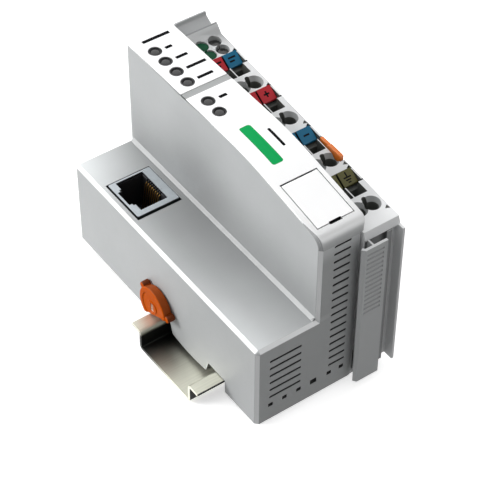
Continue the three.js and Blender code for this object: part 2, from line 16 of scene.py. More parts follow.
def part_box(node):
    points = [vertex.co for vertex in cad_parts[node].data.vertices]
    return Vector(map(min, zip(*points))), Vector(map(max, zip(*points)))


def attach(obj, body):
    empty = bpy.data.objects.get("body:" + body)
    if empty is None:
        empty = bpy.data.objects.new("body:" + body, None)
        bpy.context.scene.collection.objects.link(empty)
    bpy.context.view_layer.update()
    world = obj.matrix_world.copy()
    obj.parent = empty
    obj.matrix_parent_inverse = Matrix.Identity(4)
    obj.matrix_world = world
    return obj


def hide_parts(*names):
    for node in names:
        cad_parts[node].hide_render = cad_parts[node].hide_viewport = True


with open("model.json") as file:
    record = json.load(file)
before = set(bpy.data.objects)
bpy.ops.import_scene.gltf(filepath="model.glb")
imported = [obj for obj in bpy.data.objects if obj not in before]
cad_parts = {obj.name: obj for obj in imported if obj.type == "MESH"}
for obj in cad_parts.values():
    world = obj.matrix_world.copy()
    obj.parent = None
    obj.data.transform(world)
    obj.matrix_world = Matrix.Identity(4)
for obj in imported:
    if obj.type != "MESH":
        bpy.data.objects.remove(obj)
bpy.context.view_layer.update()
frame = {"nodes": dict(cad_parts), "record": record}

# ---- sizes, in millimetres ----
SHELF_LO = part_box("shelf_housing")[0]
END_Y = 3.5
ORIGIN = Vector((SHELF_LO.x, SHELF_LO.y - END_Y / 1000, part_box("mounting_rail")[0].z))
TOP_Y = 100.0
BACK_Z = 2.8
WALL = 1.8
BEVEL = 1.1
RAIL_FRONT = 7.5
FRONT_Z = RAIL_FRONT + 63.9
SHELF_Z = 34.0
TOWER_X = 21.0
TOWER_END = 36.4
COVER_END = 37.6
COVER_RIM = 0.45
COVER_T = 2.2
TERMINAL_X = 36.7
RIGHT_X = 49.3
RAIL_Y = 37.4
RAIL_HALF = 17.5
RAIL_WEB = 13.5
RAIL_START = -9.4
RAIL_END = 51.0
CHANNEL = (RAIL_Y - RAIL_HALF - 0.5, RAIL_Y + RAIL_HALF + 0.5)
FLAT_END = 50.0
ARC_END = 30.0
SLOPE = 0.17
TILT = math.atan(SLOPE)
ARC_R = (FLAT_END - ARC_END) / math.sin(TILT)
NOSE_R = 4.0
NOSE_STEPS = 10
COLUMNS = (40.8, 45.5)
ROWS = (68.5, 51.1, 31.4, 11.9)
DRIVER_UP = 6.1
DRIVER_SIDES = ((-2.0, 1.6), (-2.75, 1.75))
MARKER_UP = 11.4
MARKER_RIGHT = (2.36, 3.1)
MARKER_SLOPE = 0.6
WINDOW_X = 26.0
WINDOW_YS = (92.2, 86.5, 80.7, 74.9, 64.4, 58.7)
SUPPLY_YS = (89.2, 85.0)
WINDOW_R = 2.15
POWER_YS = (25.0, 44.5, 62.0)
VENT_Z = 12.4
VENT_STEP = 3.05
TOWER_VENTS = (17, 25.9, 31.8)
SHELF_VENTS = (6, 4.6, 15.8)
DIVIDER = (68.8, 71.4)
STRIP_WALL = 4.7
STRIP_T = 0.9
STRIP_TOP = 57.8
DISC_Y = 53.0
DISC_Z = 12.0
DISC_R = 6.9
WIRE_YS = tuple(74.5 + 1.02 * k for k in range(8))


# ---- shapes ----
def place(x, y, z):
    return ORIGIN + Vector((x, y, z)) / 1000


def at_x(x):
    return place(x, 0, 0).x


def at_y(y):
    return place(0, y, 0).y


def at_z(z):
    return place(0, 0, z).z


def node_foot(name):
    """Lowest z of a CAD node, in millimetres."""
    return (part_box(name)[0].z - ORIGIN.z) * 1000


def turned(axis, u, v, w):
    """A point (u, v) of an outline, at w along the axis it is drawn across."""
    return {"x": (w, u, v), "y": (u, w, v), "z": (u, v, w)}[axis]


def prism(axis, outline, lo, hi):
    """A closed prism. Outlines are (y, z) along x, (x, z) along y and (x, y) along z."""
    bm = bmesh.new()
    ends = [[bm.verts.new(turned(axis, u, v, w)) for u, v in outline] for w in (lo, hi)]
    bm.faces.new(ends[0])
    bm.faces.new(ends[1])
    for k in range(len(outline)):
        n = (k + 1) % len(outline)
        bm.faces.new((ends[0][k], ends[0][n], ends[1][n], ends[1][k]))
    bmesh.ops.recalc_face_normals(bm, faces=bm.faces)
    return bm


def box(x0, y0, z0, x1, y1, z1):
    return prism("z", ((x0, y0), (x1, y0), (x1, y1), (x0, y1)), z0, z1)


def arc(cu, cv, r, start, end, steps):
    angles = [start + (end - start) * k / steps for k in range(steps + 1)]
    return [(cu + r * math.cos(t), cv + r * math.sin(t)) for t in angles]


def ring(cu, cv, r, sides=48):
    return arc(cu, cv, r, 0, 2 * math.pi * (sides - 1) / sides, sides - 1)


def rod(axis, u, v, lo, hi, r, sides=48):
    return prism(axis, ring(u, v, r, sides), lo, hi)


def skin(loops):
    """A closed body over loops of as many points each, flat at both ends."""
    bm = bmesh.new()
    loops = [[bm.verts.new(point) for point in loop] for loop in loops]
    for low, high in zip(loops, loops[1:]):
        for k in range(len(low)):
            n = (k + 1) % len(low)
            bm.faces.new((low[k], low[n], high[n], high[k]))
    bm.faces.new(loops[0])
    bm.faces.new(loops[-1])
    bmesh.ops.recalc_face_normals(bm, faces=bm.faces)
    return bm


def lathe(axis, u, v, profile, sides=48):
    """A closed body of circles (w, r) about a line; the first and last have r over 0."""
    return skin([[turned(axis, a, b, w) for a, b in ring(u, v, r, sides)] for w, r in profile])


def rounded(u0, v0, u1, v1, r, steps=5):
    """Outline of a rectangle with round corners."""
    corners = ((u1 - r, v1 - r, 0), (u0 + r, v1 - r, 1), (u0 + r, v0 + r, 2), (u1 - r, v0 + r, 3))
    outline = []
    for cu, cv, q in corners:
        outline += arc(cu, cv, r, q * math.pi / 2, (q + 1) * math.pi / 2, steps)
    return outline


def together(*shapes):
    """One set of separate closed bodies."""
    whole = bmesh.new()
    for bm in shapes:
        mesh = bpy.data.meshes.new("part")
        bm.to_mesh(mesh)
        bm.free()
        whole.from_mesh(mesh)
        bpy.data.meshes.remove(mesh)
    return whole


def marked(bm, index):
    """Gives every face of a body a material number, which its cuts then carry."""
    for face in bm.faces:
        face.material_index = index
    return bm


def as_object(bm, name):
    mesh = bpy.data.meshes.new(name)
    bm.to_mesh(mesh)
    bm.free()
    obj = bpy.data.objects.new(name, mesh)
    bpy.context.scene.collection.objects.link(obj)
    return obj


def combine(how, body, *tools):
    """Adds tools to a body, or cuts them from it, one after another."""
    for tool in tools:
        target = as_object(body, "target")
        other = as_object(tool, "other")
        for obj in (target, other):
            for mat in FACE_SLOTS:
                obj.data.materials.append(mat)
        mod = target.modifiers.new("cut", "BOOLEAN")
        mod.operation = how
        mod.solver = "MANIFOLD"
        mod.material_mode = "INDEX"
        mod.object = other
        bpy.context.view_layer.update()
        evaluated = target.evaluated_get(bpy.context.evaluated_depsgraph_get())
        body = bmesh.new()
        body.from_mesh(evaluated.to_mesh())
        evaluated.to_mesh_clear()
        for obj in (target, other):
            mesh = obj.data
            bpy.data.objects.remove(obj)
            bpy.data.meshes.remove(mesh)
        bmesh.ops.remove_doubles(body, verts=body.verts, dist=1e-5)
    return body


def cut(body, *tools):
    return combine("DIFFERENCE", body, *tools)


def fuse(body, *tools):
    return combine("UNION", body, *tools)


def common(body, *tools):
    return combine("INTERSECT", body, *tools)


def soften(bm, width, segments=2, least=28, spare=None):
    """Rounds the outer edges sharper than an angle, but for those that spare() keeps sharp."""
    bmesh.ops.dissolve_limit(bm, angle_limit=0.002, verts=bm.verts, edges=bm.edges,
                             delimit={"MATERIAL"})
    edges = []
    for e in bm.edges:
        if len(e.link_faces) == 2 and e.is_convex:
            kept = spare and spare((e.verts[0].co + e.verts[1].co) / 2)
            if math.degrees(e.calc_face_angle()) > least and not kept:
                edges.append(e)
    bmesh.ops.bevel(bm, geom=edges, offset=width, segments=segments, profile=0.5,
                    affect="EDGES", clamp_overlap=False)
    return bm


def piece(name, bm, material, body, replaces=(), sharp=40, more=()):
    """Shows a finished body. more: the materials of faces numbered 1, 2 and so on."""
    for v in bm.verts:
        v.co = place(*v.co)
    obj = as_object(bm, name)
    for p in obj.data.polygons:
        p.use_smooth = True
    obj.data.set_sharp_from_angle(angle=math.radians(sharp))
    mod = obj.modifiers.new("even_shading", "WEIGHTED_NORMAL")
    mod.keep_sharp = True
    for mat in (material, *more):
        obj.data.materials.append(mat)
    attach(obj, body)
    if replaces:
        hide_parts(*replaces)
    return obj


# ---- front lines ----
def cover_front(y):
    if y >= FLAT_END:
        return FRONT_Z
    if y >= ARC_END:
        return FRONT_Z - ARC_R + math.sqrt(ARC_R**2 - (FLAT_END - y) ** 2)
    return FRONT_Z - ARC_R * (1 - math.cos(TILT)) - SLOPE * (ARC_END - y)


def cover_line(d):
    """Front of the cover from the top end to the end of its nose, set in by d."""
    cy = END_Y + NOSE_R
    cz = cover_front(cy) - NOSE_R / math.cos(TILT)
    up = math.pi / 2
    wide = arc(FLAT_END, FRONT_Z - ARC_R, ARC_R - d, up, up + TILT, 12)
    nose = arc(cy, cz, NOSE_R - d, up + TILT, math.pi, NOSE_STEPS)
    return [(TOP_Y, FRONT_Z - d), *wide, *nose]


def terminal_front(y):
    return 59.9 + 0.097 * (y - END_Y)


NOSE_END = cover_line(0)[-1][1]


def cover_depth(y, z):
    """How far a point is under the cover's front."""
    cy = END_Y + NOSE_R
    if y < cy:
        return NOSE_R - math.hypot(y - cy, z - NOSE_END)
    return (cover_front(y) - z) * (math.cos(TILT) if y < ARC_END else 1)


def bevel_width(y):
    """Bevel of the front left edge: slight along the front and full round the nose."""
    t = min(1, max(0, (12.5 - y) / 8))
    return 0.22 + (BEVEL - 0.22) * t * t * (3 - 2 * t)


# ---- materials ----
def new_material(name):
    mat = bpy.data.materials.new(name)
    mat.use_nodes = True
    tree = mat.node_tree
    shader = tree.nodes["Principled BSDF"]
    coords = tree.nodes.new("ShaderNodeTexCoord")
    return mat, tree, shader, coords.outputs["Object"]


def noise(tree, coords, scale, detail=3.0, stretch=None):
    if stretch:
        mapping = tree.nodes.new("ShaderNodeMapping")
        mapping.inputs["Scale"].default_value = stretch
        tree.links.new(coords, mapping.inputs["Vector"])
        coords = mapping.outputs["Vector"]
    node = tree.nodes.new("ShaderNodeTexNoise")
    node.inputs["Scale"].default_value = scale
    node.inputs["Detail"].default_value = detail
    tree.links.new(coords, node.inputs["Vector"])
    return node.outputs["Fac"]


def ramp(tree, value, stops):
    node = tree.nodes.new("ShaderNodeValToRGB")
    elements = node.color_ramp.elements
    while len(elements) < len(stops):
        elements.new(0.5)
    for element, (at, colour) in zip(elements, stops):
        element.position = at
        element.color = (*colour, 1)
    tree.links.new(value, node.inputs["Fac"])
    return node.outputs["Color"]


def rises(tree, value, start, end, low=0, high=1, smooth=True):
    """Low where a value is at its start, high at its end, smooth or straight between them."""
    node = tree.nodes.new("ShaderNodeMapRange")
    node.interpolation_type = "SMOOTHSTEP" if smooth else "LINEAR"
    limits = {"From Min": start, "From Max": end, "To Min": low, "To Max": high}
    for key, limit in limits.items():
        node.inputs[key].default_value = limit
    tree.links.new(value, node.inputs["Value"])
    return node.outputs["Result"]


def spread(tree, value, low, high):
    return rises(tree, value, 0, 1, low, high, smooth=False)


def maths(tree, operation, a, b):
    node = tree.nodes.new("ShaderNodeMath")
    node.operation = operation
    for socket, value in zip(node.inputs, (a, b)):
        if isinstance(value, (int, float)):
            socket.default_value = value
        else:
            tree.links.new(value, socket)
    return node.outputs["Value"]


def vector_maths(tree, operation, vector, *constant):
    node = tree.nodes.new("ShaderNodeVectorMath")
    node.operation = operation
    tree.links.new(vector, node.inputs[0])
    if constant:
        node.inputs[1].default_value = constant[0]
    return node.outputs["Value" if operation in ("LENGTH", "DOT_PRODUCT") else "Vector"]


def blend(tree, factor, a, b):
    """Mixes two colours, each a socket or three numbers."""
    node = tree.nodes.new("ShaderNodeMix")
    node.data_type = "RGBA"
    tree.links.new(factor, node.inputs["Factor"])
    for key, colour in (("A", a), ("B", b)):
        if isinstance(colour, tuple):
            node.inputs[key].default_value = (*colour, 1)
        else:
            tree.links.new(colour, node.inputs[key])
    return node.outputs["Result"]


def base_colour(mat):
    """A material's node tree, its base colour's socket, what feeds it, and X, Y and Z."""
    tree = mat.node_tree
    base = tree.nodes["Principled BSDF"].inputs["Base Color"]
    split = tree.nodes.new("ShaderNodeSeparateXYZ")
    tree.links.new(tree.nodes.new("ShaderNodeTexCoord").outputs["Object"], split.inputs[0])
    return tree, base, base.links[0].from_socket, split.outputs


def bump(tree, shader, height, strength, distance=0.00004):
    node = tree.nodes.new("ShaderNodeBump")
    node.inputs["Strength"].default_value = strength
    node.inputs["Distance"].default_value = distance
    tree.links.new(height, node.inputs["Height"])
    tree.links.new(node.outputs["Normal"], shader.inputs["Normal"])


def tint(colour, k):
    return tuple(min(1.0, c * k) for c in colour)


def plastic(name, colour, rough=0.45, grain=0.35, cloud=0.03, specular=0.4):
    """Moulded plastic: spark-eroded grain, faint flow clouds and uneven gloss."""
    mat, tree, shader, coords = new_material(name)
    clouds = noise(tree, coords, 60, 4)
    tone = ramp(tree, clouds, ((0.3, tint(colour, 1 - cloud)), (0.7, tint(colour, 1 + cloud))))
    tree.links.new(tone, shader.inputs["Base Color"])
    gloss = spread(tree, noise(tree, coords, 700, 3), rough - 0.06, rough + 0.06)
    tree.links.new(gloss, shader.inputs["Roughness"])
    shader.inputs["Specular IOR Level"].default_value = specular
    bump(tree, shader, noise(tree, coords, 5200, 2), grain)
    return mat


def metal(name, colour, rough=0.3, streak=(1, 1, 1), scale=900, mottle=0.12):
    mat, tree, shader, coords = new_material(name)
    shader.inputs["Metallic"].default_value = 1
    lines = noise(tree, coords, scale, 4, streak)
    tone = ramp(tree, lines, ((0.25, tint(colour, 1 - mottle)), (0.75, tint(colour, 1 + mottle))))
    tree.links.new(tone, shader.inputs["Base Color"])
    gloss = spread(tree, lines, rough - 0.07, rough + 0.1)
    tree.links.new(gloss, shader.inputs["Roughness"])
    bump(tree, shader, lines, 0.25, 0.00002)
    return mat


def lens(name, colour, rough=0.12):
    """Smoked or tinted clear plastic over a diffuser."""
    mat, tree, shader, coords = new_material(name)
    cells = tree.nodes.new("ShaderNodeTexVoronoi")
    cells.inputs["Scale"].default_value = 2600
    tree.links.new(coords, cells.inputs["Vector"])
    stops = ((0.0, tint(colour, 1.25)), (0.6, tint(colour, 0.8)))
    tone = ramp(tree, cells.outputs["Distance"], stops)
    tree.links.new(tone, shader.inputs["Base Color"])
    gloss = spread(tree, noise(tree, coords, 900), rough, rough + 0.12)
    tree.links.new(gloss, shader.inputs["Roughness"])
    shader.inputs["Coat Weight"].default_value = 0.35
    shader.inputs["Coat Roughness"].default_value = 0.05
    bump(tree, shader, cells.outputs["Distance"], 0.25, 0.00003)
    return mat


def shade_rail(mat):
    """Darkens the rail's channel under its flanges with painted shade, most towards its upper wall.
    """
    tree, base, bright, point = base_colour(mat)
    along = rises(tree, point["Y"], at_y(RAIL_Y - 8), at_y(RAIL_Y + 12.4))
    deep = rises(tree, point["Z"], at_z(7.3), at_z(5.5), smooth=False)
    dark = maths(tree, "MULTIPLY", along, deep)
    tree.links.new(blend(tree, dark, bright, (0.03, 0.032, 0.03)), base)


def paint_nose_shade(mat):
    """Fades the cover's white into the housing's grey round its nose, as painted shade where the
    nose turns from the light.
    """
    tree, base, white, point = base_colour(mat)
    front = rises(tree, point["Z"], at_z(NOSE_END), at_z(NOSE_END + 6.8))
    tree.links.new(blend(tree, front, HOUSING_GREY, white), base)


def shade_housing(mat):
    """Paints light and shade into the housing's plastic: painted shade in the inner corner, behind
    the socket, on the end face and low on the left side, painted highlights along the shelf's outer
    edge, in its two outer corners and on the end face by the nose."""
    tree, base, tone, (x, y, z) = base_colour(mat)
    coords = tree.nodes.new("ShaderNodeTexCoord").outputs["Object"]

    def near(point, reach, keep=(1, 1, 1)):
        """1 at a point and 0 at its reach, along the axes that keep counts."""
        away = vector_maths(tree, "SUBTRACT", coords, place(*point))
        distance = vector_maths(tree, "LENGTH", vector_maths(tree, "MULTIPLY", away, keep))
        return rises(tree, distance, reach / 1000, 0)

    def both(a, b):
        return maths(tree, "MULTIPLY", a, b)

    inside = both(rises(tree, y, at_y(END_Y + 0.2), at_y(END_Y + 1.7)),
                  rises(tree, y, at_y(TOP_Y - 0.2), at_y(TOP_Y - 1.7)))
    on_shelf = both(rises(tree, z, at_z(SHELF_Z - 0.9), at_z(SHELF_Z - 0.2)),
                    rises(tree, z, at_z(SHELF_Z + 2), at_z(SHELF_Z + 0.5)))
    on_end = rises(tree, y, at_y(END_Y + 0.3), at_y(END_Y + 0.15))
    on_left = rises(tree, x, at_x(0.3), at_x(0.15))
    painted_light_and_shade = (
        # each amount below 0 is painted shade, each above 0 a painted highlight
        (-0.3, both(near((TOWER_X, 50, SHELF_Z), 26, (1, 0, 1)), inside)),
        (-0.15, both(near((TOWER_X - 0.4, 50, SHELF_Z + 0.5), 1.4, (1, 0, 1)), inside)),
        (-0.22, both(near((TOWER_X, 62, 50), 26), inside)),
        (0.9, both(near((1, TOP_Y + 2, SHELF_Z), 27, (1, 0.8, 0)), on_shelf)),
        (0.17, both(rises(tree, x, at_x(9), at_x(0)), on_shelf)),
        (0.42, both(near((3, END_Y, SHELF_Z), 40, (1.2, 0.9, 0)), on_shelf)),
        (-0.15, on_end),
        (0.5, both(on_end, rises(tree, z, at_z(NOSE_END - 6), at_z(NOSE_END)))),
        (-0.16, both(on_left, rises(tree, y, at_y(62), at_y(15)))),
    )
    factor = 1.0
    for amount, where in painted_light_and_shade:
        factor = maths(tree, "ADD", both(where, amount), factor)
    scale = tree.nodes.new("ShaderNodeVectorMath")
    scale.operation = "SCALE"
    tree.links.new(tone, scale.inputs[0])
    tree.links.new(factor, scale.inputs["Scale"])
    tree.links.new(scale.outputs["Vector"], base)


def shade_terminal(mat):
    """Fades the terminal's plastic to grey at its top end and pales it at its bottom end."""
    tree, base, tone, point = base_colour(mat)
    for start, end, colour in ((82, 93, (0.43, 0.44, 0.445)), (17, 6, (0.93, 0.94, 0.945))):
        tone = blend(tree, rises(tree, point["Y"], at_y(start), at_y(end)), tone, colour)
    tree.links.new(tone, base)


def circuit(name):
    """Solder resist over copper tracks."""
    mat, tree, shader, coords = new_material(name)
    tracks = tree.nodes.new("ShaderNodeTexBrick")
    tracks.inputs["Scale"].default_value = 260
    tracks.inputs["Mortar Size"].default_value = 0.09
    tracks.inputs["Color1"].default_value = (0.008, 0.1, 0.045, 1)
    tracks.inputs["Color2"].default_value = (0.01, 0.12, 0.055, 1)
    tracks.inputs["Mortar"].default_value = (0.03, 0.24, 0.1, 1)
    tree.links.new(coords, tracks.inputs["Vector"])
    tree.links.new(tracks.outputs["Color"], shader.inputs["Base Color"])
    tree.links.new(spread(tree, noise(tree, coords, 500), 0.2, 0.4), shader.inputs["Roughness"])
    bump(tree, shader, tracks.outputs["Fac"], 0.4)
    return mat


HOUSING_GREY = (0.385, 0.397, 0.4)
COVER_WHITE = (0.97, 0.972, 0.974)
GREY = plastic("housing_plastic", HOUSING_GREY, rough=0.5)
# a lighter plastic on the broad bevels: a painted highlight
BEVEL_HIGHLIGHT = plastic("bevel_highlight_plastic", (0.6, 0.61, 0.615), rough=0.42, grain=0.15)
# a darker plastic on the front bevel above the nose's end: painted shade
NOSE_BEVEL_SHADE = plastic("nose_bevel_shade", (0.25, 0.257, 0.26), rough=0.5, grain=0.15)
DEPTH = plastic("shaded_depth", (0.03, 0.03, 0.031), rough=0.6)
WHITE = plastic("cover_plastic", COVER_WHITE, rough=0.42, grain=0.2, cloud=0.01)
COVER = plastic("cover_shell", COVER_WHITE, rough=0.42, grain=0.2, cloud=0.01)
# grey for the cover's divider band, and painted shade in the terminal's funnels and window bores
GREY_BAND_AND_SHADE = plastic("grey_band_and_painted_shade", (0.36, 0.37, 0.37), rough=0.5)
PRINT = plastic("printing_ink", (0.005, 0.005, 0.006), rough=0.7, grain=0.1, specular=0.05)
GREEN_PRINT = plastic("green_ink", (0.0, 0.35, 0.085), rough=0.6, grain=0.1, specular=0.1)
SMOKE = lens("smoked_window", (0.024, 0.024, 0.025))
DARK_LENS = lens("dark_window", (0.02, 0.02, 0.02))
GREEN_LENS = plastic("green_window", (0.002, 0.07, 0.028), rough=0.5, cloud=0.3, specular=0.15)
RIM = plastic("window_rim", (0.02, 0.02, 0.022), rough=0.35)
TERMINAL = plastic("terminal_plastic", (0.76, 0.77, 0.775), rough=0.45, cloud=0.02)
# dark grey in the terminal's bores, slits, driver openings, marker pockets and arrows: painted
# shade
RECESS_SHADE = plastic("recess_shade_grey", (0.11, 0.115, 0.105), rough=0.5, cloud=0.2)
SHADE = plastic("shaded_rib", (0.13, 0.134, 0.136), rough=0.5)
# darker grey as painted shade on the terminal's step and top ridge and in the grip strip's grooves
RIDGE_SHADE = plastic("ridge_shade_grey", (0.22, 0.226, 0.23), rough=0.5)
# lighter plastic on the terminal's lip facing the bottom end: a painted highlight
LIP_HIGHLIGHT = plastic("lip_highlight_plastic", (0.82, 0.83, 0.835), rough=0.45)
# pale plastic: a painted highlight on the grip strip's top faces, and the tone of the terminal's
# guide
PALE = plastic("pale_edge", (0.7, 0.71, 0.715), rough=0.45, grain=0.15)
STRIP = plastic("strip_plastic", (0.4, 0.412, 0.416), rough=0.5)
# black plastic of the socket insert, and black as painted shade in gaps, notches, slots, slits and
# under the markers
BLACK_AND_SHADE = plastic("black_plastic_and_painted_shade", (0.012, 0.012, 0.014), rough=0.5)
RED = plastic("red_marker", (0.5, 0.014, 0.026), rough=0.45, specular=0.15)
BLUE = plastic("blue_marker", (0.002, 0.135, 0.26), rough=0.45, specular=0.15)
OLIVE = plastic("earth_marker", (0.105, 0.098, 0.026), rough=0.45, specular=0.15)
ORANGE = plastic("orange_plastic", (0.82, 0.2, 0.025), rough=0.38, cloud=0.06, specular=0.5)
DISC_FACE = plastic("disc_plastic", (0.45, 0.072, 0.0), rough=0.5, cloud=0.06, specular=0.03)
# darker copies of the disc's orange on its rim side and lugs: painted shade
DISC_RIM_SHADE = plastic("disc_rim_shade", (0.3, 0.055, 0.004), rough=0.5, specular=0.15)
DISC_LUG_SHADE = plastic("disc_lug_shade", (0.13, 0.025, 0.003), rough=0.5, specular=0.15)
SLOT = plastic("slot_plastic", (0.75, 0.6, 0.52), rough=0.4)
STEEL = metal("spring_steel", (0.62, 0.63, 0.65), 0.28)
SHIELD = metal("tinned_shield", (0.5, 0.54, 0.57), 0.3, (1, 1, 6), 500, 0.08)
RAIL_METAL = metal("passivated_rail", (0.7, 0.7, 0.6), 0.42, (0.15, 4, 4), 500, 0.08)
RAIL_SHADE = metal("rail_shade", (0.045, 0.045, 0.045), 0.6)
COPPER = metal("tinned_copper", (0.62, 0.36, 0.2), 0.3)
GOLD = metal("gold_plate", (0.83, 0.58, 0.2), 0.22)
WIRES = metal("contact_wires", (0.4, 0.25, 0.09), 0.3)
BOARD = circuit("circuit_board")
shade_rail(RAIL_METAL)
shade_housing(GREY)
shade_terminal(TERMINAL)
paint_nose_shade(COVER)
# cutters carry face numbers 0 to 7 into what they cut, so a body needs eight slots meanwhile
FACE_SLOTS = (GREY, BLACK_AND_SHADE, PRINT, GREEN_PRINT, GREY_BAND_AND_SHADE, DEPTH, BEVEL_HIGHLIGHT, NOSE_BEVEL_SHADE)


# ---- housing ----
def vents(count, x0, x1):
    slots = []
    for k in range(count):
        z = VENT_Z + k * VENT_STEP
        outline = rounded(x0, z - 0.42, x1, z + 0.42, 0.38, 3)
        slots.append(prism("y", outline, END_Y - 1, END_Y + WALL + 1))
    return slots


def tower_plan():
    corner = 3.0
    right = arc(TOWER_END - corner, END_Y + corner, corner, -math.pi / 2, 0, 8)
    return [(TOWER_X, END_Y + BEVEL), (TOWER_X + BEVEL, END_Y), *right,
            (TOWER_END, TOP_Y - 0.6), (TOWER_END - 0.6, TOP_Y), (TOWER_X + 0.3, TOP_Y),
            (TOWER_X, TOP_Y - 0.3)]


def shelf_block():
    bm = box(0, END_Y, BACK_Z, TOWER_X + 3, TOP_Y, SHELF_Z)
    edges = []
    for e in bm.edges:
        a, b = (v.co for v in e.verts)
        on_left = a.x < 0.01 and b.x < 0.01
        on_top = a.z > SHELF_Z - 0.01 and b.z > SHELF_Z - 0.01
        upright = abs(a.z - b.z) > 1
        across = abs(a.x - b.x) > 1
        if (on_left and (on_top or upright)) or (on_top and across):
            edges.append(e)
    bmesh.ops.bevel(bm, geom=edges, offset=BEVEL, segments=1, profile=0.5, affect="EDGES")
    return bm


def left_edge_cutter():
    """Cuts the bevel that runs along the tower's front left edge, round the nose and down."""
    line = cover_line(0)
    slope = [(y, cover_front(y)) for y in range(16, 11, -1)]
    nose = len(line) - NOSE_STEPS - 1
    front = [*line[:nose], *slope, *line[nose:]]

    def offset(k):
        """The front edge, moved out by k bevel widths."""
        points = [(TOP_Y + 1, FRONT_Z - k * bevel_width(TOP_Y))]
        for n in range(1, len(front)):
            y, z = front[n]
            before, after = front[n - 1], front[min(n + 1, len(front) - 1)]
            u = Vector((after[0] - before[0], after[1] - before[1])).normalized()
            d = k * bevel_width(y)
            points.append((y - u.y * d, z + u.x * d))
        return [*points, (END_Y + k * BEVEL, SHELF_Z - 4)]

    loops = []
    widths = [bevel_width(y) for y, z in offset(0)]
    for a, b, w in zip(offset(2), offset(-1), widths):
        loops.append([(TOWER_X - w, *a), (TOWER_X + 2 * w, *b), (TOWER_X - w, *b)])
    return skin(loops)


def at_seam(p):
    """The flush joint between the housing's walls and the cover."""
    if p.x < TOWER_X + BEVEL + 0.1 and abs(cover_depth(p.y, p.z) - COVER_RIM) < 0.15:
        return True
    return p.y < END_Y + 3.2 and abs(p.z - NOSE_END) < 0.6


def mark_bevels(bm, bevel, nose_bevel):
    """Numbers the broad bevels of the housing, which are moulded smoother and carry a painted
    highlight; those above the nose's end carry painted shade instead.
    """
    for f in bm.faces:
        c = f.calc_center_median()
        if f.material_index == bevel and c.z > NOSE_END:
            f.material_index = nose_bevel
        foot = c.x > TOWER_X - 1.5 and abs(c.z - SHELF_Z) < 1.5 and c.y > END_Y + BEVEL
        slanted = sum(abs(v) > 0.6 for v in f.normal) > 1
        if slanted and f.calc_area() > 3 and not foot and f.material_index == 0:
            f.material_index = bevel


def housing():
    depth, bevel, nose_bevel = 1, 2, 3
    rim = cover_line(COVER_RIM + 0.03)
    side = [(END_Y, BACK_Z), (TOP_Y, BACK_Z), *rim, (END_Y + COVER_RIM, NOSE_END),
            (END_Y, NOSE_END)]
    tower = common(prism("x", side, TOWER_X, TOWER_END), prism("z", tower_plan(), 0, FRONT_Z + 1))
    # the end face under the shelf line runs on flat into the tower
    infill = box(TOWER_X - 2, END_Y, BACK_Z, TOWER_X + 4, TOP_Y, SHELF_Z - BEVEL)
    ledge = prism("y", ((TOWER_X - 1, SHELF_Z - 1), (TOWER_X + 1, SHELF_Z - 1),
                        (TOWER_X + 1, SHELF_Z + 1), (TOWER_X, SHELF_Z + 1),
                        (TOWER_X - 1, SHELF_Z)), END_Y + BEVEL, TOP_Y - BEVEL)
    shell = fuse(shelf_block(), tower, infill, ledge)
    inner = END_Y + WALL
    outer = TOP_Y - WALL
    hollow = box(WALL, inner, BACK_Z - 1, TOWER_X + 2, outer, SHELF_Z - WALL)
    tall = prism("x", [(inner, BACK_Z - 1), (outer, BACK_Z - 1), (outer, FRONT_Z + 1),
                       (inner, FRONT_Z + 1)], TOWER_X + 1.6, TOWER_END - 1.4)
    back_pass = box(TOWER_X + 1, inner, 0, TOWER_END + 1, outer, 10.4)
    jack_hole = prism("z", rounded(2.4, 67.6, 18.22, 85.92, 0.3, 3), SHELF_Z - WALL - 1,
                      SHELF_Z + 1)
    low, high = CHANNEL
    top = RAIL_FRONT + 0.3
    dip = arc(38, 50.6, 47.8, math.radians(-100.6), math.radians(-79.2), 14)
    channel = prism("x", [(low, 0), (low, top), (27.8, top), *dip, (48.1, top),
                          (high, top), (high, 0)], -1, WALL + 1)
    shaft = rod("x", DISC_Y, DISC_Z, -1, WALL + 1, 2.35)
    squares = [box(x - 0.8, END_Y - 1, 8.3, x + 0.8, inner + 1, 9.7)
               for x in (5.1, 10.1, 15.2, 26.3, 30.8)]
    squares.append(box(19.4, END_Y - 1, 8.1, 21.7, inner + 1, 10))
    openings = together(*vents(*SHELF_VENTS), *vents(*TOWER_VENTS), *squares, jack_hole)
    above_shelf = common(left_edge_cutter(), box(10, -5, SHELF_Z + 0.2, 30, 110, 90))
    shell = cut(shell, hollow, tall, back_pass, marked(channel, depth), shaft,
                marked(openings, depth), marked(above_shelf, bevel))
    soften(shell, 0.12, spare=at_seam)
    mark_bevels(shell, bevel, nose_bevel)
    piece("housing_shell", shell, GREY, "housing",
          ("shelf_housing", "tower_housing"), more=(DEPTH, BEVEL_HIGHLIGHT, NOSE_BEVEL_SHADE))


# ---- cover and service flap ----
FLAP_AXIS_Y = 24.9
FLAP_R = 0.6
FLAP_LENGTH = (FLAP_AXIS_Y - 8.4) / math.cos(TILT)


def flap_place(u, v):
    """A point of the service flap's section: u from the hinge's axis, v out of the cover."""
    axis_z = cover_front(FLAP_AXIS_Y) - FLAP_R / math.cos(TILT)
    c, s = math.cos(TILT), math.sin(TILT)
    return FLAP_AXIS_Y + u * c - v * s, axis_z + u * s + v * c


def on_slope(points, x0, x1):
    return prism("x", [flap_place(u, v) for u, v in points], x0, x1)


def dedupe(points):
    """Leaves out the points that fall on the one before."""
    kept = [points[0]]
    for p in points[1:]:
        if math.dist(p, kept[-1]) > 0.02:
            kept.append(p)
    return kept


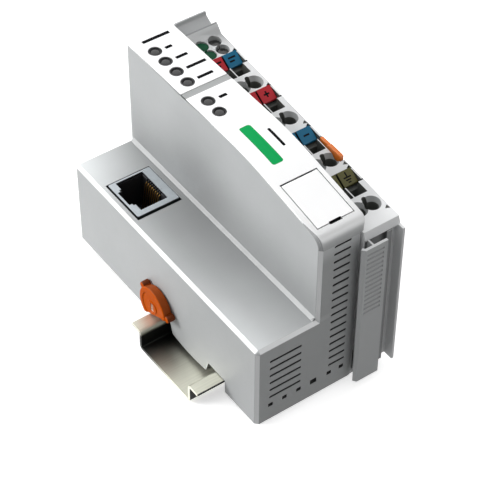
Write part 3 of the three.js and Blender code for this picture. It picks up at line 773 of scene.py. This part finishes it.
def print_on_cover(outline, index, depth=0.05):
    """A shallow pocket that follows the cover's front, for a printed mark."""
    line = [p for p in cover_line(depth) if p[0] > 12]
    over = prism("x", [*line, (line[-1][0], 90), (line[0][0], 90)], TOWER_X, COVER_END)
    return marked(common(prism("z", outline, 40, 89), over), index)


# printed marks: x from, x to, y centre, height
DASHES = ((25.0, 34.6, 97.6, 1.3), (29.3, 31.7, 91.7, 1.2), (29.3, 33.4, 86.0, 1.2),
          (29.3, 36.2, 80.4, 1.2), (29.3, 34.8, 74.7, 1.2), (29.5, 32.2, 63.9, 1.2))
# x from, y from, x to, y to
TYPE_DASH = (32.7, 36.8, 33.6, 44.8)
GREEN_BAR = (25.9, 32.3, 29.7, 49.3)


def front_cover():
    black, divider, ink, green_ink, depth, nose_bevel, grey = range(1, 8)
    lid = prism("x", [*cover_line(0), *reversed(cover_line(COVER_RIM))], TOWER_X, COVER_END)
    trim = [(TOWER_X, END_Y + BEVEL), (TOWER_X + BEVEL, END_Y), (TOWER_END - 2.4, END_Y),
            *arc(TOWER_END - 3 + 1.2, END_Y + 3, 3, -math.pi / 2, 0, 8)[1:],
            (COVER_END, TOP_Y - 0.6), (COVER_END - 0.6, TOP_Y), (TOWER_X + 0.3, TOP_Y),
            (TOWER_X, TOP_Y - 0.3)]
    lid = common(lid, prism("z", trim, 0, FRONT_Z + 1))
    edge = END_Y + WALL + 0.1
    far = TOP_Y - WALL - 0.1
    upper = [(far, FRONT_Z - 0.2)] + [(max(y, edge), z) for y, z in cover_line(0.2)[1:]]
    lower = [(max(y, edge), z) for y, z in cover_line(COVER_T)[1:]]
    core = prism("x", [*dedupe(upper), *reversed(dedupe([(far, FRONT_Z - COVER_T), *lower]))],
                 TOWER_X + 1.7, TOWER_END - 1.5)
    out_line = [(TOP_Y - 0.6, FRONT_Z - 0.2)] + [p for p in cover_line(0.2)[1:] if p[0] > 12]
    in_line = [(TOP_Y - 0.6, FRONT_Z - 1.3)] + [p for p in cover_line(1.3)[1:] if p[0] > 12]
    overhang = prism("x", [*out_line, *reversed(in_line)], TOWER_END + 0.05, COVER_END - 0.05)
    cover = fuse(lid, core, overhang)
    holes = [rod("z", WINDOW_X, y, FRONT_Z - 4, FRONT_Z + 1, WINDOW_R) for y in WINDOW_YS]
    groove = box(TOWER_X - 1, DIVIDER[0], FRONT_Z - 0.2, COVER_END + 1, DIVIDER[1], FRONT_Z + 1)
    low = -FLAP_LENGTH
    seat = on_slope([(low - 0.28, -0.95), (0.88, -0.95), (0.88, 3), (low - 0.28, 3)], 23.22, 36.08)
    well = on_slope([(low + 2.5, -1.65), (-3.5, -1.65), (-3.5, 0), (low + 2.5, 0)], 25.6, 33.8)
    notch = on_slope([(low - 0.7, -2.6), (low + 1, -2.6), (low + 1, 3), (low - 0.7, 3)], 27.4, 31.5)
    # the flap's seat and the notch are black as painted shade in the gaps; the window holes are
    # black too
    cover = cut(cover, marked(together(*holes), black), marked(groove, divider),
                marked(seat, black), well, marked(together(*vents(*TOWER_VENTS)), depth),
                marked(left_edge_cutter(), nose_bevel))
    soften(cover, 0.14, spare=at_seam)
    # the front-left bevel keeps its painted shade near the nose; higher up, like the cover's left
    # side, it takes the housing's grey
    for f in cover.faces:
        c = f.calc_center_median()
        side = c.x < TOWER_X + 0.02 and f.normal.x < -0.9
        if side or (f.material_index == nose_bevel and c.y > 26):
            f.material_index = grey
    cover = cut(cover, marked(notch, black))
    marks = [print_on_cover(rounded(x0, y - h / 2, x1, y + h / 2, 0.2, 3), ink)
             for x0, x1, y, h in DASHES]
    marks.append(print_on_cover(rounded(*TYPE_DASH, 0.3, 3), ink))
    marks.append(print_on_cover(rounded(*GREEN_BAR, 0.8, 4), green_ink))
    cover = cut(cover, *marks)
    piece("indicator_cover", cover, COVER, "housing", ("front_cover",),
          more=(BLACK_AND_SHADE, GREY_BAND_AND_SHADE, PRINT, GREEN_PRINT, DEPTH, NOSE_BEVEL_SHADE, GREY))


def service_flap():
    low = -FLAP_LENGTH
    hinge = arc(0, 0, FLAP_R, -math.pi / 2, math.pi / 2, 10)
    plate = on_slope([(low, -FLAP_R), *hinge, (low, FLAP_R)], 23.5, 35.8)
    notch = on_slope([(low - 1, -2), (low + 0.35, -2), (low + 0.35, 2), (low - 1, 2)], 27.4, 31.5)
    ribs = [on_slope([(low + 2, -0.8), (-2.4, -0.8), (-2.4, -0.5), (low + 2, -0.5)], x, x + 0.6)
            for x in (26.2, 32.5)]
    plate = fuse(plate, *ribs)
    soften(plate, 0.1)
    # the notch is black: painted shade
    plate = cut(plate, marked(notch, 1))
    piece("flap", plate, WHITE, "service_flap", ("service_flap",), more=(BLACK_AND_SHADE,))


def window(name, x, y, front, glass, rimmed=True):
    """A round window, set a little under the front, with a dark rim or without."""
    low = node_foot(name)
    wide = 1.6 if rimmed else WINDOW_R - 0.06
    dome = [(front - 0.5, wide), (front - 0.36, wide - 0.15), (front - 0.27, wide - 0.5),
            (front - 0.21, 0.6), (front - 0.2, 0.1)]
    glass_body = lathe("z", x, y, [(low, 1.0), (front - 2.0, 1.0), (front - 1.9, wide), *dome])
    piece(name + "_lens", glass_body, glass, "housing", (name,), sharp=30)
    if not rimmed:
        return
    rim = lathe("z", x, y, [(front - 1.4, WINDOW_R - 0.03), (front - 0.12, WINDOW_R - 0.03),
                            (front - 0.03, WINDOW_R - 0.14)])
    rim = cut(rim, rod("z", x, y, front - 3, front + 1, 1.66))
    soften(rim, 0.06)
    piece(name + "_rim", rim, RIM, "housing")


def windows():
    for k, y in enumerate(WINDOW_YS):
        window(f"status_window_{k + 1}", WINDOW_X, y, FRONT_Z, SMOKE)
    for c, x in enumerate(COLUMNS):
        for k, y in enumerate(SUPPLY_YS):
            glass, slot = ((GREEN_LENS, "green_window"), (DARK_LENS, "window"))[c]
            window(f"supply_window_{2 * c + k + 1}", x, y, terminal_front(y) - 0.9 * c + 0.1,
                   glass, False)


# ---- back cover ----
def back_cover():
    x0, x1 = WALL + 0.3, RIGHT_X - WALL - 0.3
    t = 2.0
    low, high = CHANNEL[0] - 0.4, CHANNEL[1] + 0.4
    seat = RAIL_FRONT + 0.5
    y0, y1 = END_Y + WALL + 0.3, TOP_Y - WALL - 0.3
    sheet = prism("x", [(y0, 0), (low, 0), (low, 4.4), (22.2, 4.4), (22.2, 6.1), (low, 6.1),
                        (low, seat), (high, seat), (high, 0), (y1, 0), (y1, t), (high + t, t),
                        (high + t, seat + t), (low - t, seat + t), (low - t, t), (y0, t)], x0, x1)
    window_cut = box(5.6, high - 1, 2.6 + t / 2, 16.4, high + t + 1, 6.6)
    recesses = [prism("z", rounded(a, 62, b, 92, 1, 4), -1, 0.7) for a, b in ((6, 23), (26, 43))]
    recesses.append(prism("z", rounded(6, 8.2, 43, 15.4, 1, 4), -1, 0.7))
    slits = [prism("z", rounded(x, 24, x + 1.6, 50, 0.7, 4), seat - 1, seat + 3)
             for x in (20, 25, 30, 35, 40)]
    # the slits are black: painted shade
    sheet = cut(sheet, window_cut, together(*recesses), marked(together(*slits), 1))
    soften(sheet, 0.2)
    piece("back_panel", sheet, GREY, "housing", ("back_cover",), more=(BLACK_AND_SHADE,))


# ---- terminals ----
# numbers of the terminal housing's faces
T_BLACK_SHADE, T_GREY_SHADE, T_RECESS_SHADE, T_RIDGE_SHADE, T_SHADE, T_LIP_HIGHLIGHT, T_PALE = range(1, 8)


def terminal_openings(c, x, y):
    """Cutters of one terminal: conductor funnel, test slit, driver opening, marker pocket."""
    z = terminal_front(y)
    driver = y + DRIVER_UP
    mark = y + MARKER_UP
    left, right = (x + side for side in DRIVER_SIDES[c])
    mark_z = terminal_front(mark)
    # the funnel is grey: painted shade in the white plastic
    funnel = marked(lathe("z", x, y, [(z - 1.6, 2.0), (z - 1.3, 2.1), (z + 0.05, 2.8),
                                      (z + 1, 3.05)]), T_GREY_SHADE)
    bore = rod("z", x, y, z - 5, z - 1.4, 2.1)
    keyhole = rod("z", x - 0.95, y + 2.3, z - 3.4, z + 1, 0.9, 24)
    shaft = prism("z", rounded(left, driver - 1.8, right, driver + 2.6, 0.2, 3), z - 4.5, z + 3)
    edge = MARKER_RIGHT[c]
    pocket = box(x - 2.36, mark - 2.85, mark_z - 3, x + edge, mark + 2.85, mark_z + 3)
    # the bore, test slit, driver opening and marker pocket are dark grey: painted shade
    tools = [funnel, *(marked(tool, T_RECESS_SHADE) for tool in (bore, keyhole, shaft, pocket))]
    if c:
        # the catch and the foot are black pockets: painted shade
        catch = marked(prism("z", [(x + 2.2, mark + 2.2), (x + 3.5, mark + 2.5),
                                   (x + 3.3, mark + 3.8), (x + 2.2, mark + 3.1)],
                             mark_z - 1.5, mark_z + 3), T_BLACK_SHADE)
        foot = marked(box(x + 2.2, mark - 2.9, mark_z - 1.5, x + 3.55, mark - 2.4, mark_z + 3),
                      T_BLACK_SHADE)
        tools += [catch, foot]
    return tools


def terminal_housing():
    wall_x = RIGHT_X - 1.4
    profile = [(STRIP_WALL, BACK_Z), (TOP_Y, BACK_Z), (TOP_Y, FRONT_Z), (99.3, FRONT_Z),
               (99.0, 70.3), (94.3, 67.5), (93.9, 71), (93.3, 71), (91, terminal_front(91)),
               (4.3, terminal_front(4.3)), (3.4, 57.3), (3.8, 56.9), (STRIP_WALL, 56.6)]
    body = prism("x", profile, TERMINAL_X, RIGHT_X)
    step = box(44.4, 3.3, BACK_Z, 46.2, STRIP_WALL + 1, 57.1)
    guide = box(48.4, 1.2, BACK_Z, RIGHT_X, STRIP_WALL + 1, 57.6)
    side_wall = box(TERMINAL_X, END_Y, BACK_Z, TERMINAL_X + 0.9, STRIP_WALL + 1, 57.1)
    beads = [rod("x", 99.5, FRONT_Z - 0.45, x, x + 0.5, 0.44, 20) for x in (37.9, RIGHT_X - 0.6)]
    body = fuse(body, step, guide, side_wall, *beads)
    inner = END_Y + WALL
    outer = TOP_Y - WALL
    hollow = box(TERMINAL_X + 1.4, inner, BACK_Z - 1, wall_x, outer, 47)
    back_pass = box(TERMINAL_X - 1, inner, 0, TERMINAL_X + 3, outer, 10.4)
    under = box(TERMINAL_X - 1, END_Y + 1, 67.3, COVER_END + 0.3, TOP_Y + 1, FRONT_Z + 1)
    # the lug's slot is black: painted shade
    lug_slot = marked(box(47.6, 29.4, 44, RIGHT_X + 1, 40.2, FRONT_Z), T_BLACK_SHADE)
    data_slot = box(wall_x - 1, 60.4, 12, RIGHT_X + 1, 81.6, 22)
    power = together(*[box(wall_x - 1, y - 1.3, 29, RIGHT_X + 1, y + 1.3, 40) for y in POWER_YS])
    rail = box(wall_x - 1, CHANNEL[0], -1, RIGHT_X + 1, CHANNEL[1], RAIL_FRONT + 0.3)
    body = cut(body, hollow, back_pass, under, lug_slot, data_slot, power, rail)
    soften(body, 0.15)
    # painted shade on the low faces at the bottom end, darkest left of the step, the guide's faces
    # pale; painted shade on the ridge near the top end
    for f in body.faces:
        c = f.calc_center_median()
        if c.z < 57.5 and c.y < STRIP_WALL + 0.1:
            f.material_index = T_SHADE if c.x < 44.45 else T_RIDGE_SHADE if c.x < 46.3 else T_PALE
        if 93.1 < c.y < 94 and c.z > 68.5:
            f.material_index = T_RIDGE_SHADE
        # the lip facing the bottom end takes a painted highlight
        if c.y < 4.4 and c.z > 57 and f.normal.y < -0.5:
            f.material_index = T_LIP_HIGHLIGHT
    for c, x in enumerate(COLUMNS):
        for y in ROWS:
            body = cut(body, *terminal_openings(c, x, y))
        for y in SUPPLY_YS:
            # the supply windows' bores are grey: painted shade
            body = cut(body, marked(rod("z", x, y, 46, FRONT_Z, WINDOW_R), T_GREY_SHADE))
    arrows = []
    x = 48.2
    for y in (47.3, 28.1, 8.5):
        z = terminal_front(y)
        outline = [(x - 0.7, y - 0.1), (x + 0.7, y - 0.7), (x + 0.5, y + 0.8)]
        arrows.append(prism("z", outline, z - 0.3, z + 1))
    # the arrows' recesses take the same dark grey as painted shade
    body = cut(body, marked(together(*arrows), T_RECESS_SHADE))
    piece("terminal_shell", body, TERMINAL, "housing", ("terminal_housing",),
          more=(BLACK_AND_SHADE, GREY_BAND_AND_SHADE, RECESS_SHADE, RIDGE_SHADE, SHADE, LIP_HIGHLIGHT, PALE))


def symbol(kind, x, y, z, ink):
    """Cutters for a marker's sign, sunk 0.06 mm under its sloping face."""
    bars = {
        "plus": ((-1.0, -0.28, 1.0, 0.28), (-0.28, -1.0, 0.28, 1.0)),
        "minus": ((-1.0, -0.28, 1.0, 0.28),),
        "earth": ((-0.22, 0.2, 0.22, 1.7), (-1.3, -0.2, 1.3, 0.24), (-0.9, -1.0, 0.9, -0.58),
                  (-0.5, -1.75, 0.5, -1.35)),
        "supply": ((-1.3, 0.35, 1.3, 0.95), (-1.3, -0.85, 0.5, -0.25)),
    }[kind]
    squeeze = 0.85
    up = 0.4
    tools = []
    for u0, v0, u1, v1 in bars:
        v0, v1 = v0 * squeeze, v1 * squeeze
        low, high = (z - 0.36 + MARKER_SLOPE * v for v in (v0, v1))
        outline = [(y + up + v0, low), (y + up + v1, high), (y + up + v1, z + 3),
                   (y + up + v0, z + 3)]
        tools.append(marked(prism("x", outline, x + u0, x + u1), ink))
    return tools


SIGNS = ("supply", "plus", "minus", "earth")
MARKERS = (((RED, "red_marker"), (BLUE, "blue_marker")), ((RED, "red_marker"),) * 2,
           ((BLUE, "blue_marker"),) * 2, ((OLIVE, "earth_marker"),) * 2)


def markers():
    ink, shadow = 1, 2
    for c, x in enumerate(COLUMNS):
        for r, row in enumerate(ROWS):
            y = row + MARKER_UP
            z = terminal_front(y)
            block = prism("x", [(y - 1.0, z - 2.6), (y + 2.4, z - 2.6), (y + 2.4, z + 0.9),
                                (y - 1.6, z - 1.5), (y - 1.6, z - 2.1), (y - 1.0, z - 2.2)],
                          x - 2.1, x + MARKER_RIGHT[c] - 0.26)
            block = cut(block, box(x - 1.2, y - 0.6, z - 3, x + 1.2, y + 1.6, z - 1.8))
            soften(block, 0.16, 3)
            # a marker's underside and its left side are black: painted shadow
            for f in block.faces:
                middle = f.calc_center_median()
                if middle.z < z - 2.15 or (middle.x < x - 2.0 and f.normal.x < -0.9):
                    f.material_index = shadow
            block = cut(block, *symbol(SIGNS[r], x + 0.35 * c, y, z, ink))
            mat, slot = MARKERS[r][c]
            node = f"marker_{4 * c + r + 1}"
            piece(node + "_clip", block, mat, "housing", (node,), more=(PRINT, BLACK_AND_SHADE))


def release_lug():
    z = terminal_front(35) + 1.1
    lug = fuse(box(48.1, 35.9, 44.6, RIGHT_X - 0.1, 39.8, z - 0.2),
               box(47.9, 29.8, 44.6, RIGHT_X - 0.1, 36.2, z - 0.35),
               prism("x", [(29.8, z - 0.8), (36.2, z - 0.8), (35.4, z), (30.6, z - 0.25)],
                     47.9, RIGHT_X - 0.1))
    soften(lug, 0.18, 3)
    piece("lug", lug, ORANGE, "release_lug", ("release_lug",))


def finger_strip():
    pale, groove = 1, 2
    count, first, step = 14, 32, 1.8
    plate = prism("z", [(34.3, 0), (42.2, 0), (42.2, STRIP_T), (34.7, STRIP_T), (34.1, 1.6),
                        (33.4, 1.1)], BACK_Z, STRIP_TOP)
    web = box(37.3, STRIP_T / 2, BACK_Z, 37.9, END_Y - 0.3, STRIP_TOP - 0.1)
    grooves = []
    for k in range(count):
        z = first + step * k
        grooves.append(prism("x", [(-1, z - 0.75), (0, z - 0.5), (0.35, z), (0, z + 0.5),
                                   (-1, z + 0.75)], 34.9, 40.9))
    strip = cut(fuse(plate, web), marked(together(*grooves), groove))
    soften(strip, 0.08)
    # the strip's top faces take the pale plastic as a painted highlight; its grooves take painted
    # shade
    for f in strip.faces:
        if f.calc_center_median().z > STRIP_TOP - 0.2:
            f.material_index = pale
    piece("grip_strip", strip, STRIP, "housing", ("finger_strip",), more=(PALE, RIDGE_SHADE))


# ---- rail lock ----
def locking_disc():
    front = -3.3
    back = -0.4
    flat = 2.9
    down = (-0.415, -0.91)  # direction of the flat's normal
    along = (0.91, -0.415)
    slot_faces, rim_shade, lug_shade = 1, 2, 3

    def at(u, v):
        return DISC_Y + down[0] * u + along[0] * v, DISC_Z + down[1] * u + along[1] * v

    face = lathe("x", DISC_Y, DISC_Z, [(back, DISC_R - 0.4), (front + 0.3, DISC_R),
                                       (front, DISC_R - 0.3)], 96)
    dish = lathe("x", DISC_Y, DISC_Z, [(front - 0.7, 5.3), (front + 0.25, 5.1)], 96)
    hub = rod("x", DISC_Y, DISC_Z, front + 0.02, front + 0.4, 2.3, 48)
    face = fuse(cut(face, dish), hub)
    face = cut(face, prism("x", [at(flat, -12), at(12, -12), at(12, 12), at(flat, 12)], -5, 1))
    lugs = []
    for degrees in (40, 175):
        a = math.radians(degrees)
        out = DISC_R + 0.4
        lugs.append(lathe("x", DISC_Y + out * math.cos(a), DISC_Z + out * math.sin(a),
                          [(back, 1.2), (front + 0.6, 1.2), (front + 0.3, 0.95)], 32))
    slot = box(front - 0.7, DISC_Y - 0.7, DISC_Z - 1.5, front + 1.2, DISC_Y + 0.7, DISC_Z + 1.5)
    shaft = rod("x", DISC_Y, DISC_Z, -0.6, 4.2, 2)
    disc = cut(fuse(face, *lugs, shaft), marked(slot, slot_faces))
    soften(disc, 0.15)
    bmesh.ops.recalc_face_normals(disc, faces=disc.faces)
    # the rim's side and the lugs take darker copies of the orange: painted shade
    for f in disc.faces:
        c = f.calc_center_median()
        out = math.dist((c.y, c.z), (DISC_Y, DISC_Z))
        if abs(f.normal.x) < 0.5 and out > DISC_R - 0.8:
            f.material_index = rim_shade
        if out > DISC_R + 0.1 and f.normal.x > -0.8:
            f.material_index = lug_shade
    piece("lock_disc", disc, DISC_FACE, "locking_disc", ("locking_disc",),
          more=(SLOT, DISC_RIM_SHADE, DISC_LUG_SHADE))


def rail_latch():
    latch = fuse(prism("z", rounded(6, 52.6, 16, 74, 0.6, 4), 4.2, 6.1), box(6, 60, 5, 8, 62, 13.2))
    soften(latch, 0.15)
    piece("latch", latch, STEEL, "rail_latch", ("rail_latch",))


def bent(points, r, steps=6):
    """A line of right-angled bends with round corners."""
    line = [points[0]]
    for a, b, c in zip(points, points[1:], points[2:]):
        into = Vector((b[0] - a[0], b[1] - a[1])).normalized()
        away = Vector((c[0] - b[0], c[1] - b[1])).normalized()
        centre = Vector(b) - into * r + away * r
        for k in range(steps + 1):
            t = math.pi / 2 * k / steps
            line.append(tuple(centre - away * r * math.cos(t) + into * r * math.sin(t)))
    return [*line, points[-1]]


def rail_line(points, radii):
    """A line with a round corner of its own radius at each inner point."""
    line = [points[0]]
    for k, r in enumerate(radii):
        line += bent(points[k:k + 3], r)[1:-1]
    return [*line, points[-1]]


def mounting_rail():
    web, half, front = RAIL_WEB, RAIL_HALF, RAIL_FRONT
    back = [(-half, front - 1), (-web, front - 1), (-web, 0), (web, 0), (web, front - 1),
            (half, front - 1)]
    face = [(half, front), (web - 1, front), (web - 1, 1), (1 - web, 1), (1 - web, front),
            (-half, front)]
    back = rail_line(back, (0.5, 1.5, 1.5, 0.5))
    face = rail_line(face, (1.5, 0.5, 0.5, 1.5))
    outline = [(RAIL_Y + y, z) for y, z in [*back, *face]]
    rail = prism("x", outline, RAIL_START, RAIL_END)
    soften(rail, 0.08, 2, 60)
    shadow = 1
    for f in rail.faces:
        outer = f.normal.y < -0.8 or f.normal.z < -0.5
        if outer and f.calc_center_median().y < RAIL_Y - web + 0.3:
            f.material_index = shadow
    piece("rail", rail, RAIL_METAL, "mounting_rail", ("mounting_rail",),
          more=(RAIL_SHADE,))


# ---- network socket ----
def socket():
    x0, y0, x1, y1, top = 3.1, 68.9, 18.1, 85.8, SHELF_Z - 0.1
    low = node_foot("jack_shield")
    shield = prism("z", rounded(x0, y0, x1, y1, 0.5, 4), low, top)
    inner = box(x0 + 0.4, y0 + 0.4, low - 2, x1 - 0.4, y1 - 0.4, top - 0.5)
    mouth = prism("z", [(5.6, 71), (15.2, 71), (15.2, 85.1), (5.6, 85.1), (5.6, 82.0),
                        (4.9, 82.0), (4.9, 81.2), (3.9, 81.2), (3.9, 74.8), (4.9, 74.8),
                        (4.9, 74.0), (5.6, 74.0)], top - 2, top + 1)
    shield = cut(shield, inner, mouth)
    soften(shield, 0.14)
    piece("socket_shield", shield, SHIELD, "housing", ("jack_shield",))
    block = box(x0 + 0.7, y0 + 0.7, node_foot("jack_insert"), x1 - 0.7, y1 - 0.7, top - 0.8)
    bay = box(5.6, 71.3, 20.6, 14.8, 84.8, top + 1)
    latch_bay = box(4.2, 74.2, 22, 6, 81.6, top + 1)
    comb = [box(14.7, y - 0.3, 27, 15.6, y + 0.3, top) for y in WIRE_YS]
    block = cut(block, bay, latch_bay, together(*comb))
    piece("socket_insert", block, BLACK_AND_SHADE, "housing", ("jack_insert",))
    path = ((15.3, 31.2), (15.1, 32.2), (14.6, 32.4), (14.1, 31.8), (12.4, 21.4))
    wires = [wire(path, y, 0.2) for y in WIRE_YS]
    piece("socket_wires", together(*wires), WIRES, "housing", ("jack_contacts",))


def wire(path, y, r, sides=8):
    """A round wire through points (x, z) at a height y."""
    loops = []
    for k, (x, z) in enumerate(path):
        a = Vector(path[max(k - 1, 0)])
        b = Vector(path[min(k + 1, len(path) - 1)])
        side = (b - a).normalized()
        side = Vector((-side.y, side.x))
        loops.append([(x + side.x * u, y + v, z + side.y * u) for u, v in ring(0, 0, r, sides)])
    return skin(loops)


housing()
front_cover()
service_flap()
windows()
back_cover()
terminal_housing()
markers()
release_lug()
finger_strip()
locking_disc()
rail_latch()
mounting_rail()
socket()

# ---- materials of the frame's own nodes ----
LOOKS = {"cover": WHITE, "housing": GREY, "window": SMOKE, "green_window": GREEN_LENS,
         "red_marker": RED, "blue_marker": BLUE, "earth_marker": OLIVE, "orange": ORANGE,
         "steel": STEEL, "rail": RAIL_METAL, "copper": COPPER, "gold": GOLD, "board": BOARD,
         "dark": BLACK_AND_SHADE}
for entry in frame["record"]["subparts"]:
    node = frame["nodes"][entry["node"]]
    node.data.materials.clear()
    node.data.materials.append(LOOKS[entry["material_slot"]])

# ---- stage ----
CAMERA_AT = (-200.67, -268.95, 414.03)
CAMERA_AZIMUTH = -35.99
CAMERA_ELEVATION = 45.04
CAMERA_ROLL = 0.546
CAMERA_LENS = 131.37


def camera():
    data = bpy.data.cameras.new("camera")
    data.lens = CAMERA_LENS
    data.clip_end = 10
    cam = bpy.data.objects.new("camera", data)
    bpy.context.scene.collection.objects.link(cam)
    a, e = math.radians(CAMERA_AZIMUTH), math.radians(CAMERA_ELEVATION)
    back = Vector((math.sin(a) * math.cos(e), -math.cos(a) * math.cos(e), math.sin(e)))
    turn = (-back).to_track_quat("-Z", "Y").to_matrix().to_4x4()
    roll = Matrix.Rotation(math.radians(CAMERA_ROLL), 4, "Z")
    cam.matrix_world = Matrix.Translation(place(*CAMERA_AT)) @ turn @ roll
    bpy.context.scene.camera = cam


def floor():
    bm = bmesh.new()
    bmesh.ops.create_grid(bm, x_segments=1, y_segments=1, size=3)
    obj = as_object(bm, "floor")
    obj.location.z = ORIGIN.z - 0.0001
    mat, tree, shader, coords = new_material("floor_paper")
    paper = ramp(tree, noise(tree, coords, 3),
                 ((0.3, (0.92, 0.92, 0.92)), (0.7, (0.95, 0.95, 0.95))))
    tree.links.new(paper, shader.inputs["Base Color"])
    shader.inputs["Roughness"].default_value = 0.9
    shader.inputs["Specular IOR Level"].default_value = 0.1
    shader.inputs["Emission Color"].default_value = (1, 1, 1, 1)
    # the floor glows more on the module's right and lower side: painted light that lifts the shadow
    # there
    across = vector_maths(tree, "DOT_PRODUCT", coords, (0.8, -0.6, 0))
    painted_fill_light = rises(tree, across, -0.03, 0.02, 0.3, 0.6)
    tree.links.new(painted_fill_light, shader.inputs["Emission Strength"])
    obj.data.materials.append(mat)
    obj.visible_diffuse = False


def lamp(name, toward, energy):
    """A round soft box that faces the module."""
    light = bpy.data.lights.new(name, "AREA")
    light.shape = "DISK"
    light.size = 0.7
    light.energy = energy
    obj = bpy.data.objects.new(name, light)
    toward = Vector(toward).normalized()
    turn = toward.to_track_quat("Z", "Y").to_matrix().to_4x4()
    obj.matrix_world = Matrix.Translation(Vector((0, 0, 0.03)) + toward * 1.3) @ turn
    bpy.context.scene.collection.objects.link(obj)
    return obj


def studio():
    """Soft light that is strongest from above, the left and the top end."""
    world = bpy.data.worlds.new("studio")
    bpy.context.scene.world = world
    world.use_nodes = True
    tree = world.node_tree
    background = tree.nodes["Background"]
    background.inputs["Color"].default_value = (1, 1, 1, 1)
    coords = tree.nodes.new("ShaderNodeTexCoord").outputs["Generated"]
    toward = vector_maths(tree, "DOT_PRODUCT", coords, (0, 0.85, 0.53))
    level = rises(tree, toward, -1, 1, 0.09, 1.23, smooth=False)
    tree.links.new(maths(tree, "MAXIMUM", level, 0.03), background.inputs["Strength"])
    left = (-0.707, 0.572, 0.415)
    lamp("key", left, 13.5)
    # these two only glint on the edges
    for name, side, energy in (("front_glint", (0.416, -0.707, 0.571), 18),
                               ("left_glint", left, 22)):
        lamp(name, side, energy).visible_diffuse = False


camera()
floor()
studio()
bpy.context.scene.view_settings.view_transform = "Standard"
